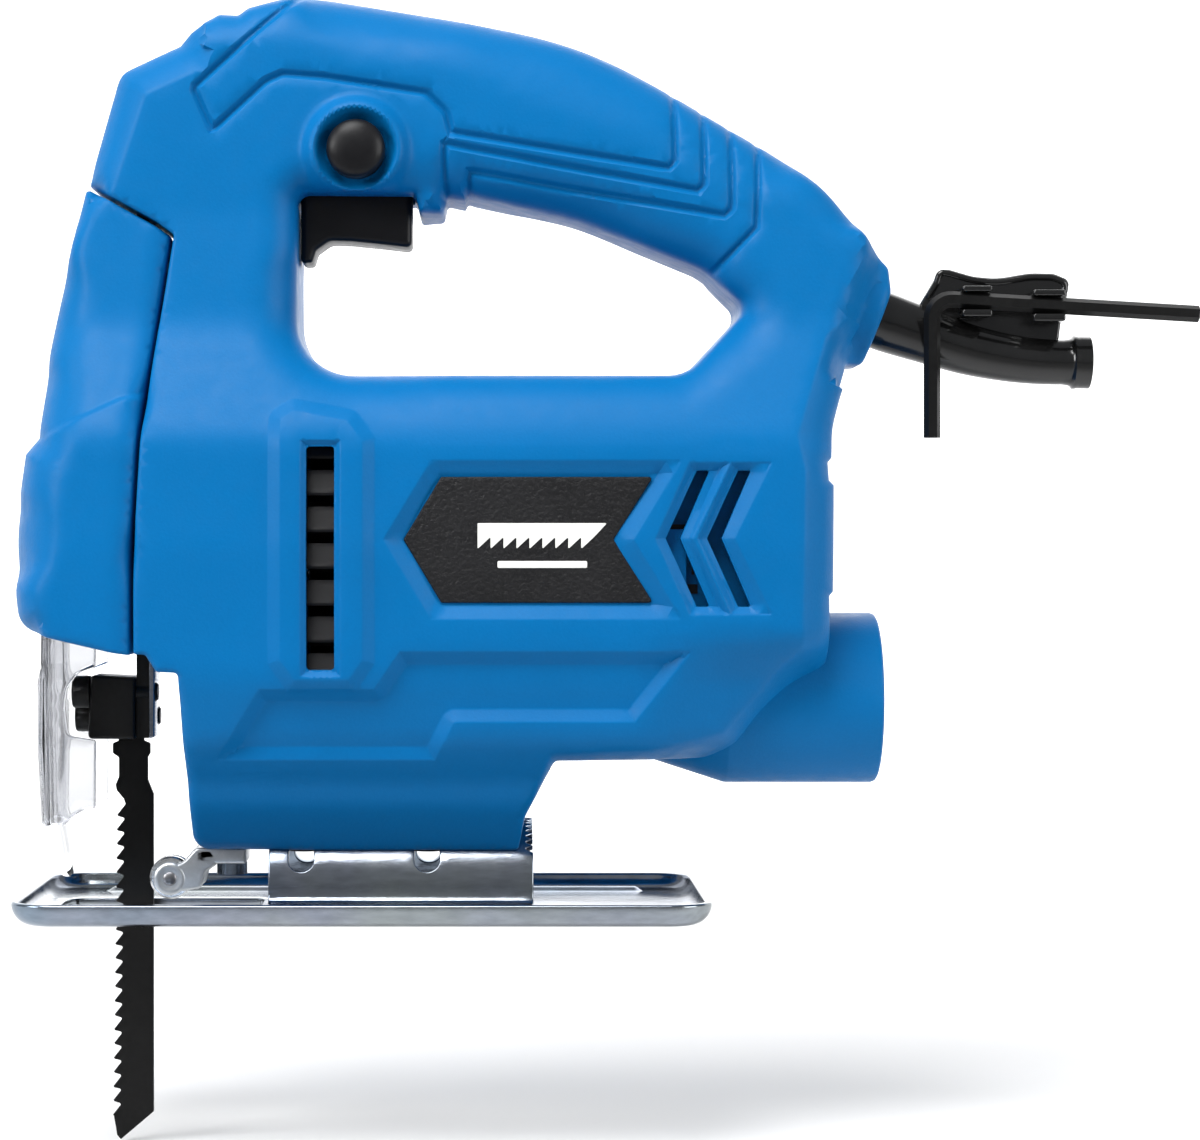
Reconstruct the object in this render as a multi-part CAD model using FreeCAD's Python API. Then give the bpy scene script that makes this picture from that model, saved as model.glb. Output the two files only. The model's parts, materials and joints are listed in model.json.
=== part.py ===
"""Corded jigsaw, built as separate pieces.  Millimetres, +Z up.

Origin: underside of the sole plate, on the middle plane, midway along the plate.
-X is the cutting direction (blade and front cover), +X is the cable end.
Y = 0 is the joint between the two housing halves; -Y is the left half.
"""
import FreeCAD, Part
import math
import os

V = FreeCAD.Vector
os.makedirs("parts", exist_ok=True)

# ---------------------------------------------------------------- fits and walls
wall = 2.8                  # moulded housing wall
running_fit = 0.05          # radial clearance of a shaft in its bush
free_gap = 0.3              # clearance between bodies that must not rub
slide_gap = 0.15            # side clearance of a sliding piece
seam_gap = 0.25             # visible joint between the front cover and the housing

# ---------------------------------------------------------------- motor and gear axis
motor_z = 74.0
body_half_width = 32.0      # widest half width of the motor housing
shaft_radius = 4.0
journal_radius = 3.0
nose_radius = 2.5           # shaft end that carries the pinion
pinion_teeth = 9
gear_teeth = 41
gear_module = 1.0
gear_width = 6.0
gear_front_x = -35.0
crank_radius = 8.0          # half the stroke
crank_pin_radius = 2.5
crank_roller_radius = 4.0
gear_axle_radius = 4.0
bearing_outer = 9.5
bearing_width = 6.0
front_bearing_x = -25.0
rear_bearing_x = 74.0
fan_x = -11.5
fan_length = 9.5
fan_blades = 24
stator_x0 = 6.0
stator_x1 = 44.0
motor_clearance = 2.2       # between the motor and the housing wall
yoke = 5.5                  # ring of the stator outside its coils
coil_depth = 5.9            # between the yoke and the bore of the poles
air_gap = 0.6
coil_overhang = 4.5
armature_slots = 12
commutator_x0 = 54.0
commutator_x1 = 66.0
commutator_radius = 10.5
commutator_bars = 24

# ---------------------------------------------------------------- plunger, clamp and blade
bar_x0 = -47.8
bar_thickness = 2.6
bar_width = 10.0
bar_bottom_z = 36.6
bar_top_z = 150.0
bush_wall = 3.5
lower_bush_z = 58.0
upper_bush_z = 122.5
bush_height = 9.5
frame_plate_x0 = -26.5
frame_plate_thickness = 8.5
clamp_half_width = 6.5
clamp_screw_y = 3.4
clamp_screw_radius = 2.0
clamp_head_radius = 3.4
clamp_screw_z = (46.2, 40.9)
blade_thickness = 1.3
blade_back_x = -44.7
blade_top_z = 48.6
blade_tip_z = -48.1
tooth_pitch = 3.0
shank_width = 5.4

# ---------------------------------------------------------------- sole plate, saddle, roller
plate_length = 142.0
plate_width = 65.0
plate_height = 4.8
sheet = 1.5
rim_radius = 4.2
plate_corner = 9.0
slot_half_width = 10.0
slot_x0 = -64.0
slot_x1 = -22.0
tilt_axis_z = 6.0
saddle_radius = 13.6
saddle_sheet = 1.8
saddle_x0 = -19.7
saddle_x1 = 35.0
saddle_flange = 7.0
tilt_screw_x = (-13.0, 13.0)
tilt_screw_radius = 2.4
tilt_slot_radius = 2.6
tilt_slot_end_z = 12.1
access_hole_radius = 6.0
roller_z = 7.2
roller_groove_radius = 3.75
roller_flange_radius = 4.5
roller_half_width = 2.8
roller_pin_radius = 1.5
fork_thickness = 2.4

# ---------------------------------------------------------------- trigger, button, cable, key
trigger_half_width = 7.0
trigger_travel = 5.5
button_x = -1.4
button_z = 157.8
button_radius = 5.3
button_flange_radius = 6.9
button_travel = 3.0
sleeve_radius = 5.5
sleeve_bore = 3.6
sleeve_end_x = 153.0
sleeve_z = 115.0
sleeve_start = V(97.5, 0, 127.9)
sleeve_corner = V(136.3, 0, sleeve_z)
sleeve_bend = 70.0
key_flats = 3.0
key_y = -8.2
key_elbow = V(117.9, key_y, 128.2)
key_slope = -3.4
key_long = 55.5
key_short = 29.0
key_bend = 4.0
port_radius = 17.8
port_bore = 15.0
port_z = 44.9
port_end_x = 106.9
guard_half_width = 12.0
guard_sheet = 1.6
guard_travel = 14.0
screw_radius = 1.75
screw_head_radius = 3.6
screw_head_height = 3.0
screw_head_y = 8.0
screw_end_y = -10.0

# ---------------------------------------------------------------- sizes that follow
gear_pitch_radius = gear_module * gear_teeth / 2
pinion_pitch_radius = gear_module * pinion_teeth / 2
gear_z = motor_z + gear_pitch_radius + pinion_pitch_radius
crank_z = gear_z + crank_radius
bar_x1 = bar_x0 + bar_thickness
frame_plate_x1 = frame_plate_x0 + frame_plate_thickness
crank_pin_end_x = bar_x1 + 0.6
saddle_inner = saddle_radius - saddle_sheet
handle_floor_z = 148.5      # underside of the handle behind the trigger
stator_radius = body_half_width - wall - motor_clearance
pole_radius = stator_radius - yoke - coil_depth
fan_radius = stator_radius - 2.0
brush_end_y = stator_radius - 1.0
brush_back_y = brush_end_y - 6.0
arch_radius = saddle_radius + free_gap
roller_x = blade_back_x + roller_groove_radius + slide_gap

# Side outline of the whole housing: (x, z, corner radius).
side_outline = [
    (-71.9, 58.3, 3), (-74.4, 78, 40), (-72.2, 95.5, 1), (-69.6, 98.9, 1), (-66.5, 122, 120),
    (-52.5, 175.2, 5), (-40, 181, 10), (-25.5, 188.6, 14), (-12, 192.3, 40), (45, 182.5, 90),
    (92.3, 154.2, 30), (110.8, 135, 3), (110.1, 130, 2), (103, 113.8, 6), (97.5, 105, 14),
    (97.5, 32.8, 8), (39.2, 32.8, 1.5), (33.2, 21, 6), (31.9, 13.8, 1), (-37.6, 13.8, 2),
    (-39.2, 50.5, 1), (-43.5, 50.5, 2), (-49.8, 53.8, 6)]
# Half of the section seen from the front: (y, z, corner radius).
front_outline = [
    (8.7, 10, 0.5), (19, 24, 10), (20.5, 28.5, 4), (27.5, 37, 8), (0.97 * body_half_width, 50, 30),
    (body_half_width, 76, 60), (0.97 * body_half_width, 98, 16), (20.5, 122, 25), (17.5, 145, 40),
    (16.8, 180, 8), (13.5, 194, 10)]
finger_outline = [
    (-13.8, 149.4, 1), (-13.8, 111.5, 12), (66, 111.5, 8), (79, 125.5, 3), (70.2, 133.8, 10),
    (44, 144.4, 60), (19.7, 149.4, 3)]
cover_outline = [
    (-85, 167.6), (-42.4, 142.8, 2), (-39, 140.2, 1), (-42, 119.8, 30), (-44.4, 99.8, 60),
    (-45.8, 73.8, 60), (-45.8, 40), (-85, 40)]
fan_slot = (-10.9, -5.2, 51.7, 96.6)        # x0, x1, z0, z1
slat_count = 10
slat_height = 1.4
arrow_slot = [(67.5, 91.8), (70.1, 91.8), (64.2, 78.1), (70.1, 64.4), (67.5, 64.4), (61.2, 78.1)]
arrow_shifts = (0, 8.3)
housing_screws = [
    (-43, 168), (-33, 48.8), (90, 101), (90, 141), (42, 163.5), (90.5, 72), (-0.5, 105.6),
    (62, 104.6), (27, 27)]

PLANES = {
    "side": (lambda a, b: V(a, 0, b), V(0, 1, 0)),
    "front": (lambda a, b: V(0, a, b), V(1, 0, 0)),
    "plan": (lambda a, b: V(a, b, 0), V(0, 0, 1)),
}


# ---------------------------------------------------------------- shape helpers
def rounded_wire(points, plane):
    """Closed wire through the corners (a, b, radius), each rounded by a tangent arc."""
    place = PLANES[plane][0]
    flat = [V(p[0], p[1], 0) for p in points]
    radii = [p[2] if len(p) > 2 else 0 for p in points]
    count = len(flat)
    stops = []
    for i, here in enumerate(flat):
        if radii[i] == 0:
            stops.append((here, None, here))
            continue
        back = (flat[i - 1] - here).normalize()
        ahead = (flat[(i + 1) % count] - here).normalize()
        half = math.acos(max(-1, min(1, back.dot(ahead)))) / 2
        reach = radii[i] / math.tan(half)
        middle = (back + ahead).normalize()
        top = here + middle * (radii[i] / math.sin(half) - radii[i])
        stops.append((here + back * reach, top, here + ahead * reach))
    edges = []
    for i, (start, top, end) in enumerate(stops):
        if top is not None:
            arc = Part.Arc(place(start.x, start.y), place(top.x, top.y), place(end.x, end.y))
            edges.append(arc.toShape())
        follow = stops[(i + 1) % count][0]
        if end.distanceToPoint(follow) > 1e-6:
            edges.append(Part.LineSegment(place(end.x, end.y), place(follow.x, follow.y)).toShape())
    return Part.Wire(edges)


def slab(points, plane, low, high, inset=0.0):
    """Prism of an outline between two distances along the plane's normal."""
    face = Part.Face(rounded_wire(points, plane))
    if inset:
        face = Part.Face(face.makeOffset2D(-inset, 2, False, False, False).OuterWire)
    normal = PLANES[plane][1]
    face.translate(normal * low)
    return face.extrude(normal * (high - low))


def box(x0, x1, y0, y1, z0, z1):
    return Part.makeBox(x1 - x0, y1 - y0, z1 - z0, V(x0, y0, z0))


def rod_x(x0, x1, radius, y=0.0, z=0.0):
    return Part.makeCylinder(radius, x1 - x0, V(x0, y, z), V(1, 0, 0))


def rod_y(y0, y1, radius, x=0.0, z=0.0):
    return Part.makeCylinder(radius, y1 - y0, V(x, y0, z), V(0, 1, 0))


def rod_z(z0, z1, radius, x=0.0, y=0.0):
    return Part.makeCylinder(radius, z1 - z0, V(x, y, z0), V(0, 0, 1))


def tube_x(x0, x1, outer, inner, y=0.0, z=0.0):
    return rod_x(x0, x1, outer, y, z).cut(rod_x(x0 - 1, x1 + 1, inner, y, z))


def join(shapes):
    return shapes[0].multiFuse(shapes[1:]) if len(shapes) > 1 else shapes[0]


def hexagon_rod(start, direction, length, flats):
    """Hexagonal bar, used for the key and for the sockets that it turns."""
    across = flats / math.sqrt(3)
    points = []
    for i in range(6):
        angle = math.radians(60 * i)
        points.append(V(across * math.cos(angle), across * math.sin(angle), 0))
    wire = Part.makePolygon(points + [points[0]])
    bar = Part.Face(wire).extrude(V(0, 0, length))
    bar.Placement = FreeCAD.Placement(start, FreeCAD.Rotation(V(0, 0, 1), direction))
    return bar


def sector_x(x0, x1, outer, inner, low_deg, high_deg):
    """Part of a ring about the motor axis; angles are measured from +Z towards +Y."""
    def at(radius, degrees):
        angle = math.radians(degrees)
        return V(x0, radius * math.sin(angle), motor_z + radius * math.cos(angle))
    middle = (low_deg + high_deg) / 2
    edges = [
        Part.Arc(at(outer, low_deg), at(outer, middle), at(outer, high_deg)).toShape(),
        Part.LineSegment(at(outer, high_deg), at(inner, high_deg)).toShape(),
        Part.Arc(at(inner, high_deg), at(inner, middle), at(inner, low_deg)).toShape(),
        Part.LineSegment(at(inner, low_deg), at(outer, low_deg)).toShape()]
    return Part.Face(Part.Wire(edges)).extrude(V(x1 - x0, 0, 0))


def toothed_disc(x0, x1, teeth, module, phase_deg, z):
    """Spur gear blank with straight-flanked teeth and generous backlash."""
    pitch = module * teeth / 2
    root = pitch - 1.15 * module
    tip = pitch + 0.9 * module
    step = 360 / teeth
    points = []
    for i in range(teeth):
        middle = phase_deg + i * step
        for radius, share in ((root, -0.30), (tip, -0.12), (tip, 0.12), (root, 0.30)):
            angle = math.radians(middle + share * step)
            points.append(V(x0, radius * math.sin(angle), z + radius * math.cos(angle)))
    return Part.Face(Part.makePolygon(points + [points[0]])).extrude(V(x1 - x0, 0, 0))


# ---------------------------------------------------------------- housing
def full_front(inset=0.0):
    half = front_outline
    other = [(-p[0], p[1], p[2]) for p in reversed(half)]
    return slab(half + other, "front", -90, 120, inset)


def envelope(inset=0.0):
    """Outer form of the body, or the same form drawn in by a wall."""
    return slab(side_outline, "side", -45, 45, inset).common(full_front(inset))


def screw_bosses():
    """Left bosses take the thread; right bosses are counterbored for the head."""
    solids = []
    for x, z in housing_screws:
        solids.append(rod_y(-40, 0, screw_radius + 2.4, x, z))
        solids.append(rod_y(0, 40, screw_head_radius + 2.3, x, z))
    return solids


def screw_holes():
    holes = []
    for x, z in housing_screws:
        holes.append(rod_y(screw_end_y - 0.5, 0, screw_radius, x, z))
        holes.append(rod_y(0, screw_head_y, screw_radius + 0.35, x, z))
        holes.append(rod_y(screw_head_y, 50, screw_head_radius + 0.3, x, z))
    return holes


duct_floor = [(-40, 43.4), (-40, 45.9), (47.2, 45.9), (54.5, 62.2), (100, 62.2), (100, 60.2),
              (56, 60.2), (48.8, 43.4)]


def inner_structure():
    """Ribs, bulkheads and floors moulded inside the halves."""
    solids = [slab(duct_floor, "side", -45, 45)]
    plate_low = 50.0
    for x0 in (frame_plate_x0 - 2.0, frame_plate_x1):
        frame_rib = box(x0, x0 + 2.0, -45, 45, 45, 122)
        frame_rib = frame_rib.cut(box(x0 - 1, x0 + 3, 1 - fan_radius, fan_radius - 1, plate_low, 118))
        solids.append(frame_rib)
    for x0 in (stator_x0 + 5, stator_x1 - 7):
        ring = box(x0, x0 + 2.0, -45, 45, 45.9, 112)
        solids.append(ring.cut(rod_x(x0 - 1, x0 + 3, stator_radius, 0, motor_z)))
    bulkhead = box(rear_bearing_x - 2, rear_bearing_x + bearing_width + 2, -45, 45, 61, 96)
    solids.append(bulkhead)
    solids.append(box(-20, 20, -9, 9, 14, 23))
    solids.append(box(-33, -23.5, -7, 7, 13.8, 24))
    solids.append(slab([(96, 121), (99, 132), (112, 128), (108, 113)], "side", -14, 14))
    solids.append(box(-13, -11, -12, 12, 158, 190))
    solids.append(box(20.5, 22.5, -12, 12, 150, 190))
    return solids


def structure_cuts():
    """Seats cut into the inner structure for the pieces that it holds."""
    top_z = tilt_axis_z + arch_radius
    return [
        rod_x(rear_bearing_x, rear_bearing_x + bearing_width, bearing_outer, 0, motor_z),
        rod_x(rear_bearing_x - 5, rear_bearing_x + bearing_width + 1, bearing_outer - 1.5, 0, motor_z),
        rod_x(saddle_x0 - 1.5, 45, arch_radius, 0, tilt_axis_z),
        box(-19, 19, -6, 6, 23, 27),
        rod_z(top_z - 8, 29, tilt_screw_radius + 0.1, tilt_screw_x[0]),
        rod_z(top_z - 8, 29, tilt_screw_radius + 0.1, tilt_screw_x[1]),
        rod_z(12, 23, 1.9, -28.2)]


def vent_cuts():
    """Fan slot and the two arrow-shaped slots, on both sides."""
    cuts = []
    for side in (-1, 1):
        y0, y1 = sorted((side * 18, side * 45))
        cuts.append(box(fan_slot[0], fan_slot[1], y0, y1, fan_slot[2], fan_slot[3]))
        for shift in arrow_shifts:
            arrow = [(x + shift, z) for x, z in arrow_slot]
            cuts.append(slab(arrow, "side", y0, y1))
    return cuts


def badge_outline(inset=0.0):
    points = [(8.6 + inset, 77.9), (16 + inset / 2, 89.6 - inset), (58.3 - inset, 89.6 - inset),
              (50.5 - inset, 77.9), (58.3 - inset, 65.9 + inset), (16 + inset / 2, 65.9 + inset)]
    return points


def housing_solid():
    shell = envelope()
    shell = shell.fuse(rod_x(70, port_end_x, port_radius, 0, port_z))
    cavity = envelope(wall)
    cavity = cavity.cut(slab(finger_outline, "side", -50, 50, -wall))
    cavity = cavity.cut(rod_x(saddle_x0 - 5, 50, arch_radius + wall, 0, tilt_axis_z))
    inside = join(inner_structure() + screw_bosses())
    port_tube = rod_x(70, port_end_x, port_radius, 0, port_z)
    keep = inside.common(cavity).fuse(port_tube.common(cavity))
    body = shell.cut(cavity).fuse(keep)
    for cut in structure_cuts() + screw_holes() + vent_cuts():
        body = body.cut(cut)
    body = body.cut(rod_x(62, port_end_x + 1, port_bore, 0, port_z))
    body = body.cut(slab(finger_outline, "side", -50, 50))
    body = body.cut(box(-45, -34, -8, 8, 20, 41))
    body = body.cut(box(-14.5, 10.4, -trigger_half_width - slide_gap,
                        trigger_half_width + slide_gap, 147, 156))
    body = body.cut(box(-50.5, -43, -6.5, 6.5, 48, lower_bush_z))
    body = body.cut(cord_path_solid(sleeve_radius + 0.1))
    body = body.cut(cord_flange(0.1))
    ring = rod_y(-20.5, -15.5, 9.4, button_x, button_z)
    body = body.fuse(ring)
    body = body.cut(rod_y(-30, -18.2, 7.9, button_x, button_z))
    body = body.cut(rod_y(-30, -13.5, button_radius + slide_gap, button_x, button_z))
    body = body.cut(rod_y(-14.2, -8.5, button_flange_radius + free_gap, button_x, button_z))
    for side in (-1, 1):
        y0, y1 = sorted((side * (body_half_width - 2.0), side * (body_half_width + 2)))
        body = body.cut(slab(badge_outline(), "side", y0, y1))
    return body


def cover_and_halves():
    """Split the body into the front cover, the left half and the right half."""
    body = housing_solid()
    front = slab(cover_outline, "side", -50, 50)
    cover = body.common(slab(cover_outline, "side", -50, 50, seam_gap))
    rest = body.cut(front)
    guard_slot = box(-70.5, -57.0, -guard_half_width - free_gap, guard_half_width + free_gap, 50, 62)
    cover = cover.cut(guard_slot)
    rails = []
    for side in (-1, 1):
        y0, y1 = sorted((side * (guard_half_width + free_gap), side * (guard_half_width + 2.3)))
        rails.append(box(-74, -60.5, y0, y1, 57, 104).common(envelope()))
    cover = join([cover] + rails)
    left = rest.common(box(-100, 140, -60, 0, -10, 200))
    right = rest.common(box(-100, 140, 0, 60, -10, 200))
    return cover, left, right


# ---------------------------------------------------------------- cable sleeve and key
def cord_path():
    """Straight out of the housing, one gentle arc, then level to the end."""
    end = V(sleeve_end_x, 0, sleeve_z)
    back = (sleeve_start - sleeve_corner).normalize()
    ahead = (end - sleeve_corner).normalize()
    half = math.acos(back.dot(ahead)) / 2
    reach = sleeve_bend / math.tan(half)
    middle = (back + ahead).normalize()
    p1 = sleeve_corner + back * reach
    p2 = sleeve_corner + middle * (sleeve_bend / math.sin(half) - sleeve_bend)
    p3 = sleeve_corner + ahead * reach
    return Part.Wire([Part.LineSegment(sleeve_start, p1).toShape(), Part.Arc(p1, p2, p3).toShape(),
                      Part.LineSegment(p3, end).toShape()])


def cord_path_solid(radius):
    direction = (sleeve_corner - sleeve_start).normalize()
    ring = Part.Wire(Part.makeCircle(radius, sleeve_start, direction))
    return cord_path().makePipeShell([ring], True, True)


def cord_flange(extra=0.0):
    direction = (sleeve_corner - sleeve_start).normalize()
    return Part.makeCylinder(sleeve_radius + 3 + extra, 3 + 2 * extra,
                             sleeve_start + direction * (2.5 - extra), direction)


def key_direction():
    return V(math.cos(math.radians(key_slope)), 0, math.sin(math.radians(key_slope)))


def hex_key():
    along = key_direction()
    down = V(0, 0, -1)
    half = math.acos(along.dot(down)) / 2
    reach = key_bend / math.tan(half)
    middle = (along + down).normalize()
    p1 = key_elbow + down * key_short
    p2 = key_elbow + down * reach
    p3 = key_elbow + middle * (key_bend / math.sin(half) - key_bend)
    p4 = key_elbow + along * reach
    p5 = key_elbow + along * key_long
    path = Part.Wire([Part.LineSegment(p1, p2).toShape(), Part.Arc(p2, p3, p4).toShape(),
                      Part.LineSegment(p4, p5).toShape()])
    section = hexagon_rod(p1, V(0, 0, 1), 1.0, key_flats)
    wire = min(section.Faces, key=lambda f: f.CenterOfMass.z).OuterWire
    return path.makePipeShell([wire], True, False)


def cable_guard():
    """Rubber sleeve with its anchor flange, flared mouth, fin and two key clips."""
    body = cord_path_solid(sleeve_radius)
    body = body.fuse(cord_flange())
    body = body.fuse(rod_x(sleeve_end_x - 3, sleeve_end_x, sleeve_radius + 0.9, 0, sleeve_z))
    fin = slab([(115, 119, 1), (116.3, 128.6, 4), (120, 135, 3), (129.5, 133.2, 14), (139.5, 134.6, 14),
                (147.6, 133.4, 4), (145.6, 121, 4), (145.2, 116, 1)], "side", -1.6, 1.6)
    body = body.fuse(fin)
    along = key_direction()
    for x0, x1 in ((124, 130), (138.6, 145)):
        z = key_elbow.z + (0.5 * (x0 + x1) - key_elbow.x) * math.tan(math.radians(key_slope))
        clip = box(x0, x1, key_y - 1.9, 0, z - 3.4, z + 3.4)
        body = body.fuse(clip)
    clip_radius = key_flats / math.sqrt(3) + 0.12
    channel = Part.makeCylinder(clip_radius, 40, key_elbow + along * 2, along)
    across = V(-along.z, 0, along.x)
    mouth = Part.makeBox(40, 6, 2 * clip_radius)
    mouth.Placement = FreeCAD.Placement(key_elbow + along * 2 + V(0, -6, 0) - across * clip_radius,
                                        FreeCAD.Rotation(V(0, 1, 0), -key_slope))
    body = body.cut(channel).cut(mouth)
    body = body.cut(cord_path_solid(sleeve_bore))
    return body


# ---------------------------------------------------------------- motor
def armature_parts():
    shaft = join([rod_x(front_bearing_x + bearing_width, rear_bearing_x, shaft_radius, 0, motor_z),
                  rod_x(front_bearing_x - 1.5, rear_bearing_x + bearing_width + 1, journal_radius, 0, motor_z),
                  rod_x(gear_front_x - 1, front_bearing_x, nose_radius, 0, motor_z)])
    core = tube_x(stator_x0, stator_x1, pole_radius - air_gap, shaft_radius, 0, motor_z)
    winding = [tube_x(stator_x0 - coil_overhang, stator_x0, pole_radius - 3.1, shaft_radius, 0, motor_z),
               tube_x(stator_x1, stator_x1 + coil_overhang + 2, pole_radius - 3.1, shaft_radius, 0, motor_z)]
    slot_depth = 5.5
    slot_top = pole_radius - air_gap + 1
    for i in range(armature_slots):
        angle = 360 / armature_slots * i
        slot = box(stator_x0 - 1, stator_x1 + 1, -1.1, 1.1, motor_z + slot_top - slot_depth, motor_z + slot_top)
        slot.rotate(V(0, 0, motor_z), V(1, 0, 0), angle)
        core = core.cut(slot)
        bar = box(stator_x0, stator_x1, -1.0, 1.0, motor_z + slot_top - slot_depth + 0.1, motor_z + slot_top - 1.8)
        bar.rotate(V(0, 0, motor_z), V(1, 0, 0), angle)
        winding.append(bar)
    commutator = tube_x(commutator_x0, commutator_x1, commutator_radius, shaft_radius, 0, motor_z)
    for i in range(commutator_bars):
        slit = box(commutator_x0 - 1, commutator_x1 + 1, -0.2, 0.2,
                   motor_z + commutator_radius - 1, motor_z + commutator_radius + 1)
        slit.rotate(V(0, 0, motor_z), V(1, 0, 0), 360 / commutator_bars * i)
        commutator = commutator.cut(slit)
    return shaft, core, join(winding), commutator


def fan():
    hub = tube_x(fan_x, fan_x + fan_length, 8.0, shaft_radius, 0, motor_z)
    disc = tube_x(fan_x + fan_length - 1.5, fan_x + fan_length, fan_radius, shaft_radius, 0, motor_z)
    solids = [hub, disc]
    for i in range(fan_blades):
        blade = box(fan_x + 0.5, fan_x + fan_length - 1, -0.7, 0.7, motor_z + 13, motor_z + fan_radius - 0.5)
        blade.rotate(V(0, 0, motor_z), V(1, 0, 0), 360 / fan_blades * i)
        solids.append(blade)
    return join(solids)


def stator_core():
    ring = tube_x(stator_x0, stator_x1, stator_radius, stator_radius - yoke, 0, motor_z)
    poles = [sector_x(stator_x0, stator_x1, stator_radius - yoke + 1, pole_radius, -52, 52),
             sector_x(stator_x0, stator_x1, stator_radius - yoke + 1, pole_radius, 128, 232)]
    return join([ring] + poles)


def stator_coils():
    coils = []
    for middle in (0, 180):
        solids = []
        for x0, x1 in ((stator_x0 - coil_overhang, stator_x0), (stator_x1, stator_x1 + coil_overhang)):
            solids.append(sector_x(x0, x1, stator_radius - yoke - free_gap, pole_radius + 0.8, middle - 84, middle + 84))
        for low, high in ((-84, -54), (54, 84)):
            solids.append(sector_x(stator_x0 - 1, stator_x1 + 1, stator_radius - yoke - free_gap, pole_radius + 0.8, middle + low, middle + high))
        coils.append(join(solids))
    return Part.makeCompound(coils)


def bearing(x0, ring):
    """Ball bearing: 'outer' and 'inner' races, or the row of balls."""
    x1 = x0 + bearing_width
    middle_radius = (bearing_outer + journal_radius) / 2
    ball = 1.5
    groove = Part.makeTorus(middle_radius, ball + 0.1, V((x0 + x1) / 2, 0, motor_z), V(1, 0, 0))
    if ring == "outer":
        return tube_x(x0, x1, bearing_outer, middle_radius + 1.0, 0, motor_z).cut(groove)
    if ring == "inner":
        return tube_x(x0, x1, middle_radius - 1.0, journal_radius, 0, motor_z).cut(groove)
    balls = []
    for i in range(8):
        angle = math.radians(45 * i)
        balls.append(Part.makeSphere(ball, V((x0 + x1) / 2, middle_radius * math.sin(angle),
                                             motor_z + middle_radius * math.cos(angle))))
    return Part.makeCompound(balls)


def brush_gear():
    """Brass holders across the commutator with carbon brushes, springs and caps."""
    holders, brushes, springs, caps = [], [], [], []
    middle = (commutator_x0 + commutator_x1) / 2
    for side in (-1, 1):
        def span(a, b):
            return sorted((side * a, side * b))
        y0, y1 = span(12.5, brush_end_y)
        tube = box(middle - 3.6, middle + 3.6, y0, y1, motor_z - 5.1, motor_z + 5.1)
        tube = tube.cut(box(middle - 2.6, middle + 2.6, y0 - 1, y1 + 1, motor_z - 4.1, motor_z + 4.1))
        holders.append(tube)
        y0, y1 = span(commutator_radius + slide_gap, brush_back_y)
        block = box(middle - 2.5, middle + 2.5, y0, y1, motor_z - 4, motor_z + 4)
        brushes.append(block)
        y0, y1 = span(brush_back_y, brush_end_y)
        springs.append(rod_y(y0, y1, 2.2, middle, motor_z).cut(rod_y(y0 - 1, y1 + 1, 1.5, middle, motor_z)))
        y0, y1 = span(brush_end_y, brush_end_y + 1.2)
        caps.append(box(middle - 3.6, middle + 3.6, y0, y1, motor_z - 5.1, motor_z + 5.1))
    return holders, brushes, springs, caps


def brush_bridge():
    """Insulating bridge that holds both brush boxes, fixed between the bulkhead ribs."""
    middle = (commutator_x0 + commutator_x1) / 2
    plate = tube_x(commutator_x1 + 0.8, commutator_x1 + 3.3, fan_radius, commutator_radius + 1.5, 0, motor_z)
    plate = plate.common(box(0, 100, -40, 40, 62.5, 120))
    solids = [plate]
    for side in (-1, 1):
        y0, y1 = sorted((side * 13, side * fan_radius))
        solids.append(box(middle - 3.6, commutator_x1 + 2, y0, y1, motor_z + 5.1, motor_z + 7))
        solids.append(box(middle - 3.6, commutator_x1 + 2, y0, y1, motor_z - 7, motor_z - 5.1))
    legs = [box(commutator_x1 + 0.8, rear_bearing_x - 2, y - 2, y + 2, motor_z + 13, motor_z + 17)
            for y in (-9, 9)]
    return join(solids + legs)


# ---------------------------------------------------------------- gear, crank and plunger
def gear_frame():
    """Cast bracket: front bearing seat, axle boss and the two arms that hold the bushes."""
    right = [(fan_radius - 2, 50, 4), (fan_radius, motor_z, 6), (fan_radius - 3, 100, 6), (12, 118, 3),
             (9, 132.5, 1)]
    left = [(-y, z, radius) for y, z, radius in reversed(right)]
    plate = slab(right + left, "front", frame_plate_x0, frame_plate_x1)
    arms = []
    for z0 in (lower_bush_z, upper_bush_z):
        arms.append(box(bar_x0 - bush_wall - 2.5, frame_plate_x0 + 1, -bar_width / 2 - bush_wall - 2.5,
                        bar_width / 2 + bush_wall + 2.5, z0, z0 + bush_height))
    body = join([plate] + arms)
    for z0 in (lower_bush_z, upper_bush_z):
        body = body.cut(bush_block(z0))
    body = body.cut(rod_x(front_bearing_x, front_bearing_x + bearing_width, bearing_outer, 0, motor_z))
    body = body.cut(rod_x(-30, -10, bearing_outer - 1.5, 0, motor_z))
    body = body.cut(rod_x(-30, -10, gear_axle_radius, 0, gear_z))
    return body


def bush_block(z0):
    half = bar_width / 2 + bush_wall
    return box(bar_x0 - bush_wall, bar_x1 + bush_wall, -half, half, z0, z0 + bush_height)


def plunger_bushes():
    blocks = []
    for z0 in (lower_bush_z, upper_bush_z):
        hole = box(bar_x0 - running_fit, bar_x1 + running_fit, -bar_width / 2 - running_fit,
                   bar_width / 2 + running_fit, z0 - 1, z0 + bush_height + 1)
        blocks.append(bush_block(z0).cut(hole))
    return Part.makeCompound(blocks)


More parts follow.
